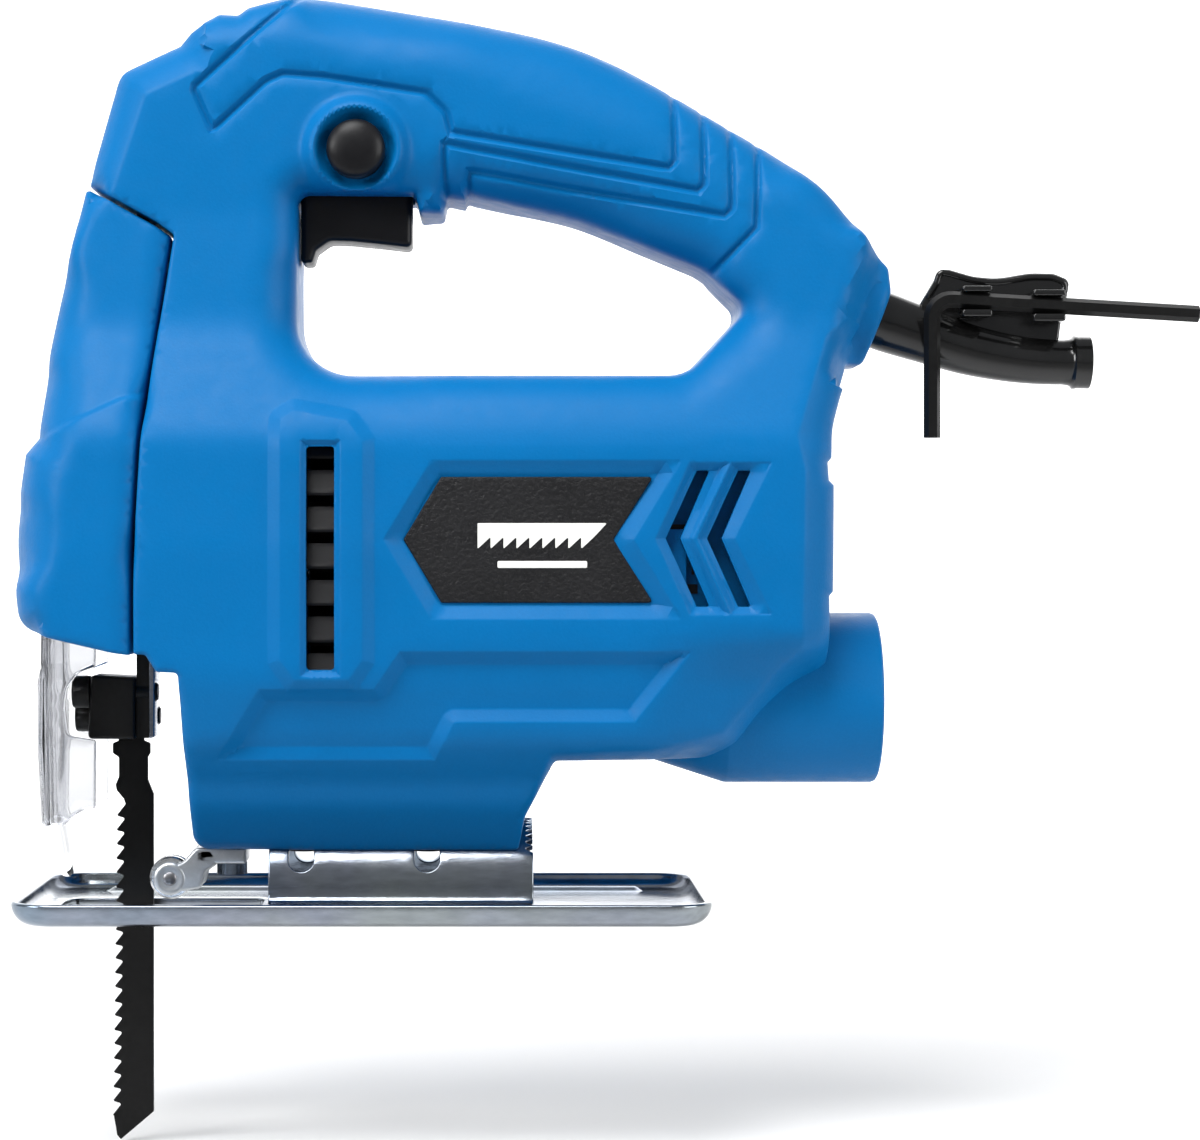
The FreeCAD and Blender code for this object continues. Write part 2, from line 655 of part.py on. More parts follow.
def crank_gear():
    phase = 0.5 * 360 / gear_teeth
    gear = toothed_disc(gear_front_x, gear_front_x + gear_width, gear_teeth, gear_module, 180 + phase, gear_z)
    pocket = tube_x(gear_front_x + gear_width - 2, gear_front_x + gear_width + 1,
                    gear_pitch_radius - 4, gear_axle_radius + 3.5, 0, gear_z)
    gear = gear.cut(pocket)
    hub = rod_x(gear_front_x, frame_plate_x0 - free_gap, gear_axle_radius + 2.5, 0, gear_z)
    pin = rod_x(crank_pin_end_x, gear_front_x + 1, crank_pin_radius, 0, crank_z)
    body = join([gear, hub, pin])
    return body.cut(rod_x(gear_front_x - 1, frame_plate_x0 + 1, gear_axle_radius + running_fit, 0, gear_z))


def gear_axle():
    axle = rod_x(gear_front_x - 2.4, frame_plate_x1, gear_axle_radius, 0, gear_z)
    groove = tube_x(gear_front_x - 1.7, gear_front_x - 0.9, gear_axle_radius + 1, gear_axle_radius - 0.8, 0, gear_z)
    return axle.cut(groove)


def axle_clip():
    clip = tube_x(gear_front_x - 1.6, gear_front_x - 1.0, gear_axle_radius + 1.2, gear_axle_radius - 0.75, 0, gear_z)
    gap = box(gear_front_x - 3, gear_front_x, -1.5, 1.5, gear_z - 10, gear_z - 1)
    return clip.cut(gap)


def plunger():
    """Flat bar with the cross-slotted yoke that the crank roller works in."""
    half = bar_width / 2
    bar = box(bar_x0, bar_x1, -half, half, bar_bottom_z, bar_top_z)
    slit = box(bar_x0 - 1, bar_x1 + 1, -blade_thickness / 2 - 0.1, blade_thickness / 2 + 0.1,
               bar_bottom_z - 1, blade_top_z + 0.4)
    bar = bar.cut(slit)
    for z, y in zip(clamp_screw_z, (-clamp_screw_y, clamp_screw_y)):
        bar = bar.cut(rod_x(bar_x0 - 1, bar_x1 + 1, clamp_screw_radius, y, z))
    slack = 0.2106 * crank_radius + 0.17
    slot_half = crank_roller_radius + slack
    slot_reach = crank_radius + crank_roller_radius + 0.5
    yoke = box(bar_x1, bar_x1 + 5.6, -slot_reach - 3, slot_reach + 3, crank_z - slot_half - 3, crank_z + slot_half + 3)
    yoke = yoke.cut(box(bar_x1, bar_x1 + 9, -slot_reach, slot_reach, crank_z - slot_half, crank_z + slot_half))
    return bar.fuse(yoke)


def crank_roller():
    return tube_x(crank_pin_end_x + 0.2, bar_x1 + 5.4, crank_roller_radius, crank_pin_radius + running_fit, 0, crank_z)


def blade_clamp():
    outline = [(-57.3, 49.7, 0.8), (bar_x0, 49.3), (bar_x0, 36.4), (-57.9, 36.5, 0.8)]
    block = slab(outline, "side", -clamp_half_width, clamp_half_width)
    shank = box(-52.1 - 0.1, -47, -blade_thickness / 2 - 0.1, blade_thickness / 2 + 0.1, 30, blade_top_z + 0.3)
    block = block.cut(shank)
    for z, y in zip(clamp_screw_z, (-clamp_screw_y, clamp_screw_y)):
        block = block.cut(rod_x(-60, -45, clamp_screw_radius, y, z))
    return block


def clamp_screws():
    screws = []
    for z, y in zip(clamp_screw_z, (-clamp_screw_y, clamp_screw_y)):
        head_x = -57.9 if z < 43 else -57.7
        head = rod_x(head_x - 3.7, head_x, clamp_head_radius, y, z)
        socket = hexagon_rod(V(head_x - 3.8, y, z), V(1, 0, 0), 2.2, key_flats)
        shank = rod_x(head_x, bar_x1 + 1.6, clamp_screw_radius, y, z)
        screws.append(head.cut(socket).fuse(shank))
    return Part.makeCompound(screws)


def blade():
    """T-shank wood blade: tang, two lugs, neck, body with hooked teeth on the front edge."""
    neck_x0 = -52.1
    points = [(neck_x0 + 1.2, blade_top_z), (neck_x0, blade_top_z - 1.2), (neck_x0, 35.6), (-53.3, 35.4),
              (-53.3, 33.2), (neck_x0, 32.6), (neck_x0, 28), (-52.6, 26.7), (-51.6, 23.4)]
    first_root_z = 22.9
    teeth = int((first_root_z - (blade_tip_z + 3.5)) / tooth_pitch)
    for i in range(teeth):
        z = first_root_z - i * tooth_pitch
        lean = 0.9 * (first_root_z - z) / 70
        points.append((-50.7 - lean, z - 0.5))
        points.append((-52.3 - lean, z - tooth_pitch + 0.35))
        points.append((-52.1 - lean, z - tooth_pitch))
    points += [(-52.2, blade_tip_z + 0.8), (-51.4, blade_tip_z), (blade_back_x, blade_tip_z + 5.7),
               (blade_back_x, 26.7), (neck_x0 + shank_width, 26.7), (neck_x0 + shank_width, 32.6),
               (-45.5, 33.2), (-45.5, 35.4), (neck_x0 + shank_width, 35.6),
               (neck_x0 + shank_width, blade_top_z - 1.2), (neck_x0 + shank_width - 1.2, blade_top_z)]
    half = blade_thickness / 2
    return slab(points, "side", -half, half)


# ---------------------------------------------------------------- sole plate, saddle, roller
def base_plate():
    x, y = plate_length / 2, plate_width / 2
    outline = [(-x, -y, plate_corner), (x, -y, plate_corner), (x, y, plate_corner), (-x, y, plate_corner)]
    tray = slab(outline, "plan", 0, plate_height)
    low_edges = [e for e in tray.Edges if e.BoundBox.ZMax < 0.01]
    tray = tray.makeFillet(rim_radius, low_edges)
    hollow = slab(outline, "plan", sheet, plate_height + 5, sheet)
    low_edges = [e for e in hollow.Edges if e.BoundBox.ZMax < sheet + 0.01]
    hollow = hollow.makeFillet(rim_radius - sheet, low_edges)
    tray = tray.cut(hollow)
    slot = [(slot_x0, -slot_half_width, 4), (slot_x1, -slot_half_width, 2), (slot_x1, slot_half_width, 2),
            (slot_x0, slot_half_width, 4)]
    tray = tray.cut(slab(slot, "plan", -1, 9))
    for x in tilt_screw_x:
        tray = tray.cut(rod_z(-1, 9, access_hole_radius, x))
    bead_y = (saddle_radius + saddle_flange + y - rim_radius) / 2 + 0.4
    for side in (-1, 1):
        bead = [(-58, side * bead_y - 2.4, 2.3), (60, side * bead_y - 2.4, 2.3),
                (60, side * bead_y + 2.4, 2.3), (-58, side * bead_y + 2.4, 2.3)]
        tray = tray.fuse(slab(bead, "plan", sheet - 0.2, sheet + 1.0))
    return tray


def base_saddle():
    """Arched bracket on the plate; the body rolls on it when the cut is bevelled."""
    r, t = saddle_radius, saddle_sheet
    za = tilt_axis_z
    low, top = sheet, sheet + sheet
    edges = [
        Part.Arc(V(0, -r, za), V(0, 0, za + r), V(0, r, za)).toShape(),
        Part.makePolygon([V(0, r, za), V(0, r, top), V(0, r + saddle_flange, top), V(0, r + saddle_flange, low),
                          V(0, r - t, low), V(0, r - t, za)]),
        Part.Arc(V(0, r - t, za), V(0, 0, za + r - t), V(0, -r + t, za)).toShape(),
        Part.makePolygon([V(0, -r + t, za), V(0, -r + t, low), V(0, -r - saddle_flange, low),
                          V(0, -r - saddle_flange, top), V(0, -r, top), V(0, -r, za)])]
    flat = []
    for part in edges:
        flat += part.Edges
    arch = Part.Face(Part.Wire(flat)).extrude(V(saddle_x1 - saddle_x0, 0, 0))
    arch.translate(V(saddle_x0, 0, 0))
    for x in tilt_screw_x:
        arch = arch.cut(box(x - tilt_slot_radius, x + tilt_slot_radius, -30, 30, tilt_slot_end_z, 40))
        arch = arch.cut(rod_y(-30, 30, tilt_slot_radius, x, tilt_slot_end_z))
    return arch


def saddle_clamp():
    outer = saddle_inner - 0.08
    block = rod_x(-19, 19, outer, 0, tilt_axis_z).common(box(-19, 19, -6.5, 6.5, 14, 30))
    for x in tilt_screw_x:
        block = block.cut(rod_z(0, 40, tilt_screw_radius, x))
    return block


def tilt_screws():
    screws = []
    for x in tilt_screw_x:
        head = rod_z(10, 14, 4.0, x)
        socket = hexagon_rod(V(x, 0, 9.9), V(0, 0, 1), 2.4, key_flats)
        screws.append(head.cut(socket).fuse(rod_z(14, 28, tilt_screw_radius, x)))
    return Part.makeCompound(screws)


def tilt_nut_plate():
    plate = box(-19, 19, -6, 6, 23, 27)
    for x in tilt_screw_x:
        plate = plate.cut(rod_z(0, 40, tilt_screw_radius, x))
    return plate


def roller_fork():
    inner = roller_half_width + free_gap
    outer = inner + fork_thickness
    solids = []
    for side in (-1, 1):
        y0, y1 = sorted((side * inner, side * outer))
        arm = slab([(roller_x - 2.2, roller_z - 2.2, 1), (-34.2, 5.2, 1), (-33.4, 9.6, 0.8), (-31.2, 10.3, 0.5),
                    (-31.2, 13.8), (-36.2, 13.8, 0.6), (roller_x - 0.5, roller_z + 3.1, 0.6)], "side", y0, y1)
        solids += [arm, rod_y(y0, y1, 3.3, roller_x, roller_z)]
    solids.append(box(-35.4, -24.9, -outer, outer, 10.3, 13.8))
    body = join(solids)
    body = body.cut(rod_y(-10, 10, roller_pin_radius, roller_x, roller_z))
    return body.cut(rod_z(5, 20, 1.9, -28.2))


def fork_screw():
    return join([rod_z(7.8, 10.3, 3.2, -28.2), rod_z(10.3, 22, 1.9, -28.2)]).cut(
        hexagon_rod(V(-28.2, 0, 7.7), V(0, 0, 1), 1.6, key_flats))


def guide_roller():
    def ring(y0, y1, radius):
        return rod_y(y0, y1, radius, roller_x, roller_z)
    groove = blade_thickness / 2 + 0.25
    w = roller_half_width
    body = join([ring(-w, -groove, roller_flange_radius), ring(-groove, groove, roller_groove_radius),
                 ring(groove, w, roller_flange_radius)])
    return body.cut(ring(-w - 1, w + 1, roller_pin_radius + running_fit))


def blade_guard():
    """Clear shield: front wall, two wings and a pointed finger down to the work."""
    outline = [(-68.9, 78, 1), (-69.1, 23, 12), (-67.4, 14.9, 3), (-66.2, 10.9, 1), (-62.4, 9.4, 1.2),
               (-60.8, 11, 1), (-60.8, 18.5, 2), (-55.5, 22.5, 2), (-55.5, 37.6, 2), (-60.2, 41.5, 2), (-60.2, 78, 1)]
    outer = slab(outline, "side", -guard_half_width, guard_half_width)
    inner = slab(outline, "side", -guard_half_width + guard_sheet, guard_half_width - guard_sheet)
    inner.translate(V(guard_sheet, 0, 0))
    deep = box(-65, -50, -guard_half_width + guard_sheet, guard_half_width - guard_sheet, 5, 80)
    body = outer.cut(inner.fuse(deep))
    taper = [(guard_half_width + 1, 5), (guard_half_width + 1, 20.0), (6.0, 9.9), (4.5, 5)]
    body = body.cut(slab(taper, "front", -80, -40))
    body = body.cut(slab([(-y, z) for y, z in taper], "front", -80, -40))
    return body


# ---------------------------------------------------------------- trigger, switch and button
def trigger():
    w = trigger_half_width
    grip = slab([(-13.4, 152), (-13.4, 135.6, 1), (-10.3, 136, 1), (-9.4, 140.2, 1.5), (9.8, 138.8, 1.4), (9.8, 152)],
                "side", -w, w)
    stem = box(-3, 3, -3, 3, 151, 163)
    return grip.fuse(stem)


def switch_body():
    body = box(-10.8, 20.3, -6.5, 6.5, 158, 177)
    return body.cut(box(-3.2, 3.2, -3.2, 3.2, 150, 173))


def terminal_block():
    block = box(58, 70, -6, 6, 142.3, 152)
    for y in (-3, 3):
        block = block.cut(rod_z(146, 153, 1.6, 61, y)).cut(rod_z(146, 153, 1.6, 67, y))
        block = block.cut(rod_x(57, 71, 1.2, y, 146.5))
    return block


def coil_sleeve_z(x, z0, z1, outer, inner):
    return rod_z(z0, z1, outer, x).cut(rod_z(z0 - 1, z1 + 1, inner, x))


def lock_button():
    dome = rod_y(-22.4, -12.2, button_radius, button_x, button_z)
    outer_edge = [e for e in dome.Edges if e.BoundBox.YMax < -22.3]
    dome = dome.makeFillet(2.0, outer_edge)
    flange = rod_y(-14.1, -12.2, button_flange_radius, button_x, button_z)
    stem = rod_y(-12.4, -10, 2.2, button_x, button_z)
    return join([dome, flange, stem])


def screws_along_y():
    screws = []
    for x, z in housing_screws:
        head = rod_y(screw_head_y, screw_head_y + screw_head_height, screw_head_radius, x, z)
        cross = join([box(x - 2, x + 2, screw_head_y + 1.2, screw_head_y + 4, z - 0.5, z + 0.5),
                      box(x - 0.5, x + 0.5, screw_head_y + 1.2, screw_head_y + 4, z - 2, z + 2)])
        shank = rod_y(screw_end_y, screw_head_y, screw_radius, x, z)
        screws.append(head.cut(cross).fuse(shank))
    return Part.makeCompound(screws)


def vent_grilles():
    """Slatted inserts behind the two fan slots."""
    frames = []
    for side in (-1, 1):
        y0, y1 = sorted((side * (body_half_width - wall - 2.6), side * (body_half_width - wall - 1.2)))
        x0, x1, z0, z1 = fan_slot
        slats = [box(x0 - 1.6, x0 - 0.2, y0, y1, z0, z1), box(x1 + 0.2, x1 + 1.6, y0, y1, z0, z1)]
        pitch = (z1 - z0 - slat_height) / (slat_count - 1)
        for i in range(slat_count):
            z = z0 + i * pitch
            slats.append(box(x0 - 1.6, x1 + 1.6, y0, y1, z, z + slat_height))
        frames.append(join(slats))
    return Part.makeCompound(frames)


def badge_plates():
    plates = []
    for side in (-1, 1):
        y0, y1 = sorted((side * (body_half_width - 2.0), side * (body_half_width - 1.0)))
        plates.append(slab(badge_outline(0.3), "side", y0, y1))
    return plates


# ---------------------------------------------------------------- write every piece
def export(name, shape):
    solids = shape.Solids
    if len(solids) == 1:
        shape = solids[0]
    else:
        shape = Part.makeCompound(solids)
    volume = sum(s.Volume for s in solids)
    print(f"{name:22s} solids {len(solids):3d} volume {volume:10.1f} valid {shape.isValid()}")
    shape.exportStep(f"parts/{name}.step")


def main():
    cover, left, right = cover_and_halves()
    export("front_cover", cover)
    export("housing_left", left)
    export("housing_right", right)
    export("vent_grilles", vent_grilles())
    badges = badge_plates()
    export("badge_left", badges[0])
    export("badge_right", badges[1])
    export("housing_screws", screws_along_y())
    shaft, core, winding, commutator = armature_parts()
    export("armature_shaft", shaft)
    export("armature_core", core)
    export("armature_winding", winding)
    export("commutator", commutator)
    export("motor_fan", fan())
    pinion = toothed_disc(gear_front_x - 0.5, gear_front_x + gear_width + 0.5, pinion_teeth, gear_module, 0, motor_z)
    export("motor_pinion", pinion.cut(rod_x(-50, -20, nose_radius, 0, motor_z)))
    export("stator_core", stator_core())
    export("stator_coils", stator_coils())
    for ring in ("outer", "inner", "balls"):
        pair = Part.makeCompound([bearing(front_bearing_x, ring), bearing(rear_bearing_x, ring)])
        export(f"bearing_{ring}", pair)
    holders, brushes, springs, caps = brush_gear()
    export("brush_holders", Part.makeCompound(holders))
    export("carbon_brushes", Part.makeCompound(brushes))
    export("brush_springs", Part.makeCompound(springs))
    export("brush_caps", Part.makeCompound(caps))
    export("brush_bridge", brush_bridge())
    export("gear_frame", gear_frame())
    export("plunger_bushes", plunger_bushes())
    export("crank_gear", crank_gear())
    export("gear_axle", gear_axle())
    export("axle_clip", axle_clip())
    export("crank_roller", crank_roller())
    export("plunger", plunger())
    export("blade_clamp", blade_clamp())
    export("clamp_screws", clamp_screws())
    export("blade", blade())
    export("base_plate", base_plate())
    export("base_saddle", base_saddle())
    export("saddle_clamp", saddle_clamp())
    export("tilt_screws", tilt_screws())
    export("tilt_nut_plate", tilt_nut_plate())
    export("roller_fork", roller_fork())
    export("fork_screw", fork_screw())
    export("roller_pin", rod_y(-roller_half_width - free_gap - fork_thickness,
                               roller_half_width + free_gap + fork_thickness, roller_pin_radius, roller_x, roller_z))
    export("guide_roller", guide_roller())
    export("blade_guard", blade_guard())
    export("trigger", trigger())
    export("trigger_spring", coil_sleeve_z(0, 163, 173, 2.6, 1.8))
    export("switch_body", switch_body())
    export("terminal_block", terminal_block())
    export("capacitor", box(25, 35, -5.5, 5.5, handle_floor_z + wall, 158.5))
    export("lock_button", lock_button())
    export("lock_spring", rod_y(-12.2, -6.5, 4.0, button_x, button_z).cut(rod_y(-13, -6, 3.2, button_x, button_z)))
    export("cable_guard", cable_guard())
    export("hex_key", hex_key())


main()
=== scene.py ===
# %% [markdown]
# # A corded jigsaw, built piece by piece
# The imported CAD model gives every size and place.  This script keeps the machined pieces of that
# model, gives them their finishes, and replaces the moulded, cast, pressed and wound pieces with
# surfaces worked out in numpy.

# %% Load the frame
import json
import math
import bmesh
import bpy
import numpy as np
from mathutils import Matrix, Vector
from mathutils.geometry import delaunay_2d_cdt


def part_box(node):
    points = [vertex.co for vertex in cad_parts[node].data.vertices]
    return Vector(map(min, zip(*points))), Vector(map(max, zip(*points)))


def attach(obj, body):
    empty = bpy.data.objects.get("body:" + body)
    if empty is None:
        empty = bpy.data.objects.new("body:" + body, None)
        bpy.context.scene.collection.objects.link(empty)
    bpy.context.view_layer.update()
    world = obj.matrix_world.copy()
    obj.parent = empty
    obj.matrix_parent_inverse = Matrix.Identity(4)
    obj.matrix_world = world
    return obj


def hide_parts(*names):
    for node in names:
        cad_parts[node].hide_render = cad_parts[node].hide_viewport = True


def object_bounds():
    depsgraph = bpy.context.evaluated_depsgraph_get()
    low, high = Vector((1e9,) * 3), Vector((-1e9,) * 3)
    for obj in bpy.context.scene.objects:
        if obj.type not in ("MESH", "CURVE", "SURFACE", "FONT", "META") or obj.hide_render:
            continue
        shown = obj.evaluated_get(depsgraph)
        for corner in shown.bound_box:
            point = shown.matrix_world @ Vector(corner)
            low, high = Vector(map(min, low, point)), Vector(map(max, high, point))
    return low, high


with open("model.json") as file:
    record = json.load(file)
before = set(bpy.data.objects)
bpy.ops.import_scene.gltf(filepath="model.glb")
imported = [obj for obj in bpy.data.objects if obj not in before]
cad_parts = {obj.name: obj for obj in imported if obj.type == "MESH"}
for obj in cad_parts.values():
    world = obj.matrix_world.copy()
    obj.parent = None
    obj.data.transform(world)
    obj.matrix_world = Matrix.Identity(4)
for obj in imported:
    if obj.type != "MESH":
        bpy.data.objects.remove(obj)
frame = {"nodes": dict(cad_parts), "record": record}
cad_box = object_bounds()
nodes = frame["nodes"]
body_of_node = {n: b for b, group in frame["record"]["behaviour"]["bodies"].items() for n in group}
scene = bpy.context.scene

# %% [markdown]
# ## Camera, light and floor
# A product picture is taken square on, from far enough away that little of the ends shows.
# The lens is a long one, and the shift places the tool in the picture without turning the camera.

# %% Camera
camera_data = bpy.data.cameras.new("camera")
camera = bpy.data.objects.new("camera", camera_data)
scene.collection.objects.link(camera)
scene.camera = camera
scene.view_settings.view_transform = "Standard"
camera.location = (0.025, -0.640, 0.0738)
camera.rotation_euler = (math.radians(90), 0, 0)
camera_data.sensor_width = 36
camera_data.lens = 91.2
camera_data.shift_x = 115 / 1200
camera_data.shift_y = -10 / 1200
camera_data.clip_end = 20

# %% Light
ROOM_LOW, ROOM_HIGH = 0.22, 0.38
world = bpy.data.worlds.new("studio")
scene.world = world
world.use_nodes = True
sky = world.node_tree
ball = sky.nodes.new("ShaderNodeTexCoord")
split = sky.nodes.new("ShaderNodeSeparateXYZ")
shade = sky.nodes.new("ShaderNodeMapRange")
shade.inputs["From Min"].default_value, shade.inputs["From Max"].default_value = -0.55, 0.35
shade.inputs["To Min"].default_value, shade.inputs["To Max"].default_value = ROOM_LOW, ROOM_HIGH
sky.links.new(ball.outputs["Generated"], split.inputs[0])
sky.links.new(split.outputs["Z"], shade.inputs["Value"])
sky.links.new(shade.outputs["Result"], sky.nodes["Background"].inputs["Strength"])
sky.nodes["Background"].inputs["Color"].default_value = (0.93, 0.96, 1.0, 1)


def soft_box(name, place, aim, size, watts, colour=(1, 1, 1)):
    """A square area light at place, turned to face aim."""
    data = bpy.data.lights.new(name, "AREA")
    data.shape, data.size, data.energy, data.color = "SQUARE", size, watts, colour
    light = bpy.data.objects.new(name, data)
    scene.collection.objects.link(light)
    light.location = place
    light.rotation_euler = (Vector(aim) - Vector(place)).to_track_quat("-Z", "Y").to_euler()
    return light


centre = Vector((0.03, 0, 0.08))
soft_box("top_box", (-0.20, -0.45, 0.95), centre, 0.6, 11)
soft_box("left_box", (-0.85, -0.55, 0.45), centre, 0.45, 7.5)
soft_box("right_box", (0.90, -0.50, 0.30), centre, 0.6, 6)
soft_box("front_box", (-0.40, -0.80, 1.15), centre, 0.5, 5)
soft_box("back_box", (0.1, 1.0, 0.6), centre, 0.9, 4)

# %% Mesh helpers
MM = 0.001


def add_mesh(name, points, faces, smooth_angle=35):
    """Makes a mesh object from points in millimetres and a list of index arrays (one per face size)."""
    mesh = bpy.data.meshes.new(name)
    points = np.asarray(points, float) * MM
    sizes = np.concatenate([np.full(len(f), f.shape[1]) for f in faces])
    corners = np.concatenate([f.ravel() for f in faces]).astype(np.int32)
    mesh.vertices.add(len(points))
    mesh.vertices.foreach_set("co", points.astype(np.float32).ravel())
    mesh.loops.add(len(corners))
    mesh.loops.foreach_set("vertex_index", corners)
    mesh.polygons.add(len(sizes))
    mesh.polygons.foreach_set("loop_start", np.concatenate([[0], np.cumsum(sizes)[:-1]]).astype(np.int32))
    mesh.update(calc_edges=True)
    mesh.validate()
    if smooth_angle:
        mesh.shade_smooth()
        mesh.set_sharp_from_angle(angle=math.radians(smooth_angle))
    thing = bpy.data.objects.new(name, mesh)
    scene.collection.objects.link(thing)
    return thing


def rounded_loop(corners, step=1.2, arc_step=14):
    """A closed line through corners (x, z, radius): straight runs joined by tangent arcs."""
    p = np.array([c[:2] for c in corners], float)
    radii = np.array([c[2] if len(c) > 2 else 0 for c in corners], float)
    before, after = np.roll(p, 1, 0) - p, np.roll(p, -1, 0) - p
    length_b, length_a = np.linalg.norm(before, axis=1), np.linalg.norm(after, axis=1)
    before, after = before / length_b[:, None], after / length_a[:, None]
    half = np.arccos(np.clip((before * after).sum(1), -1, 1)) / 2
    reach = np.minimum(radii / np.tan(half), 0.49 * np.minimum(length_a, length_b))
    out = []
    for i in range(len(p)):
        radius = reach[i] * math.tan(half[i])
        start, end = p[i] + before[i] * reach[i], p[i] + after[i] * reach[i]
        if radius > 1e-6:
            middle = p[i] + (before[i] + after[i]) / np.linalg.norm(before[i] + after[i]) * radius / math.sin(half[i])
            a0 = math.atan2(*(start - middle)[::-1])
            turn = (math.atan2(*(end - middle)[::-1]) - a0 + math.pi) % (2 * math.pi) - math.pi
            count = max(2, int(math.ceil(abs(math.degrees(turn)) / arc_step)), int(abs(turn) * radius / step))
            angles = a0 + turn * np.linspace(0, 1, count + 1)
            arc = middle + radius * np.stack([np.cos(angles), np.sin(angles)], 1)
        else:
            arc = p[i][None]
        following = p[(i + 1) % len(p)] + before[(i + 1) % len(p)] * reach[(i + 1) % len(p)]
        gap = np.linalg.norm(following - arc[-1])
        count = max(1, int(round(gap / step)))
        run = arc[-1] + (following - arc[-1]) * (np.arange(1, count) / count)[:, None]
        out += [arc, run]
    out = np.concatenate(out)
    keep = np.linalg.norm(out - np.roll(out, 1, 0), axis=1) > 1e-4
    return out[keep]


def inside(points, loop):
    """True for the points that a closed line goes round, by counting crossings."""
    a, b = loop, np.roll(loop, -1, 0)
    hit = np.zeros(len(points), bool)
    for chunk in range(0, len(points), 4000):
        x, z = points[chunk:chunk + 4000, 0:1], points[chunk:chunk + 4000, 1:2]
        crosses = (a[:, 1] > z) != (b[:, 1] > z)
        with np.errstate(divide="ignore", invalid="ignore"):
            where = a[:, 0] + (z - a[:, 1]) / (b[:, 1] - a[:, 1]) * (b[:, 0] - a[:, 0])
        hit[chunk:chunk + 4000] = (crosses & (x < where)).sum(1) % 2 == 1
    return hit


def distance(points, line, closed=True):
    """The distance from each point to a line of straight runs."""
    a = line if closed else line[:-1]
    b = np.roll(line, -1, 0) if closed else line[1:]
    d = b - a
    span = (d ** 2).sum(1) + 1e-12
    out = np.empty(len(points))
    for chunk in range(0, len(points), 4000):
        q = points[chunk:chunk + 4000, None] - a
        t = np.clip((q * d).sum(2) / span, 0, 1)
        out[chunk:chunk + 4000] = np.sqrt(((q - t[..., None] * d) ** 2).sum(2).min(1))
    return out


def depth_in(points, loop):
    """How far inside a closed line each point is; negative outside."""
    return distance(points, loop) * np.where(inside(points, loop), 1, -1)


def offset_line(line, by, closed=True):
    """Moves each point of a line square to it, to the left of its direction for a positive amount."""
    if closed:
        along = np.roll(line, -1, 0) - np.roll(line, 1, 0)
    else:
        along = np.gradient(line, axis=0)
    along = along / (np.linalg.norm(along, axis=1)[:, None] + 1e-12)
    return line + np.stack([-along[:, 1], along[:, 0]], 1) * np.broadcast_to(by, len(line))[:, None]


def turns_left(loop):
    """True for a loop that runs anticlockwise."""
    x, z = loop[:, 0], loop[:, 1]
    return (x * np.roll(z, -1) - z * np.roll(x, -1)).sum() > 0


def anticlockwise(loop):
    return loop if turns_left(loop) else loop[::-1]


def triangulate(points, loops, wanted):
    """Constrained Delaunay triangles over points, with each closed loop kept as edges.
    wanted says which triangle centres are kept.  Returns points and triangles."""
    everything = np.concatenate(loops + [points]) if len(points) else np.concatenate(loops)
    edges, start = [], 0
    for loop in loops:
        index = np.arange(start, start + len(loop))
        edges.append(np.stack([index, np.roll(index, -1)], 1))
        start += len(loop)
    verts, _, faces, *_ = delaunay_2d_cdt(
        [Vector(p) for p in everything.tolist()], np.concatenate(edges).tolist(), [], 0, 1e-5, False)
    verts = np.array([tuple(v) for v in verts])
    faces = np.array([f for f in faces if len(f) == 3])
    faces = faces[wanted(verts[faces].mean(1))]
    a, b, c = verts[faces[:, 0]], verts[faces[:, 1]], verts[faces[:, 2]]
    area = (b - a)[:, 0] * (c - a)[:, 1] - (b - a)[:, 1] * (c - a)[:, 0]
    faces[area < 0] = faces[area < 0][:, ::-1]
    used = np.unique(faces)
    renumber = np.zeros(len(verts), int)
    renumber[used] = np.arange(len(used))
    return verts[used], renumber[faces]


def match(points, loop):
    """The index in points of each point of a loop."""
    out = np.empty(len(loop), int)
    for chunk in range(0, len(loop), 500):
        gaps = ((loop[chunk:chunk + 500, None] - points[None]) ** 2).sum(2)
        out[chunk:chunk + 500] = gaps.argmin(1)
    return out

# %% [markdown]
# ## Finishes
# A finish is a Principled shader whose colour, roughness and bump come from noise in the piece's own
# metres.  Two effects are shared by many finishes, so each is a node group with named inputs:
# the grain that a mould leaves on plastic, and the streaks and clouds of a metal surface.

# %% Shader groups
def new_group(name, inputs, outputs):
    """A shader node group with inputs (name, kind, value) and outputs (name, kind)."""
    tree = bpy.data.node_groups.new(name, "ShaderNodeTree")
    for label, kind, value in inputs:
        tree.interface.new_socket(name=label, in_out="INPUT", socket_type=kind).default_value = value
    for label, kind in outputs:
        tree.interface.new_socket(name=label, in_out="OUTPUT", socket_type=kind)
    return tree, tree.nodes.new("NodeGroupInput"), tree.nodes.new("NodeGroupOutput")


def node(tree, kind, **settings):
    """Adds a node; settings with a capital name are socket values, the others are properties."""
    made = tree.nodes.new(kind)
    for label, value in settings.items():
        if label[0].isupper() or label[0].isdigit():
            made.inputs[label.replace("_", " ")].default_value = value
        else:
            setattr(made, label, value)
    return made


def scaled_noise(tree, scale_from, factor, stretch=(1, 1, 1), detail=3.0):
    """Noise on Object coordinates, its scale a factor times an input of the group."""
    link = tree.links.new
    place = node(tree, "ShaderNodeTexCoord")
    mapping = node(tree, "ShaderNodeMapping", Scale=stretch)
    link(place.outputs["Object"], mapping.inputs["Vector"])
    scale = node(tree, "ShaderNodeMath", operation="MULTIPLY")
    scale.inputs[1].default_value = factor
    link(scale_from, scale.inputs[0])
    noise = node(tree, "ShaderNodeTexNoise", Detail=detail, Roughness=0.55)
    link(mapping.outputs["Vector"], noise.inputs["Vector"])
    link(scale.outputs[0], noise.inputs["Scale"])
    return noise


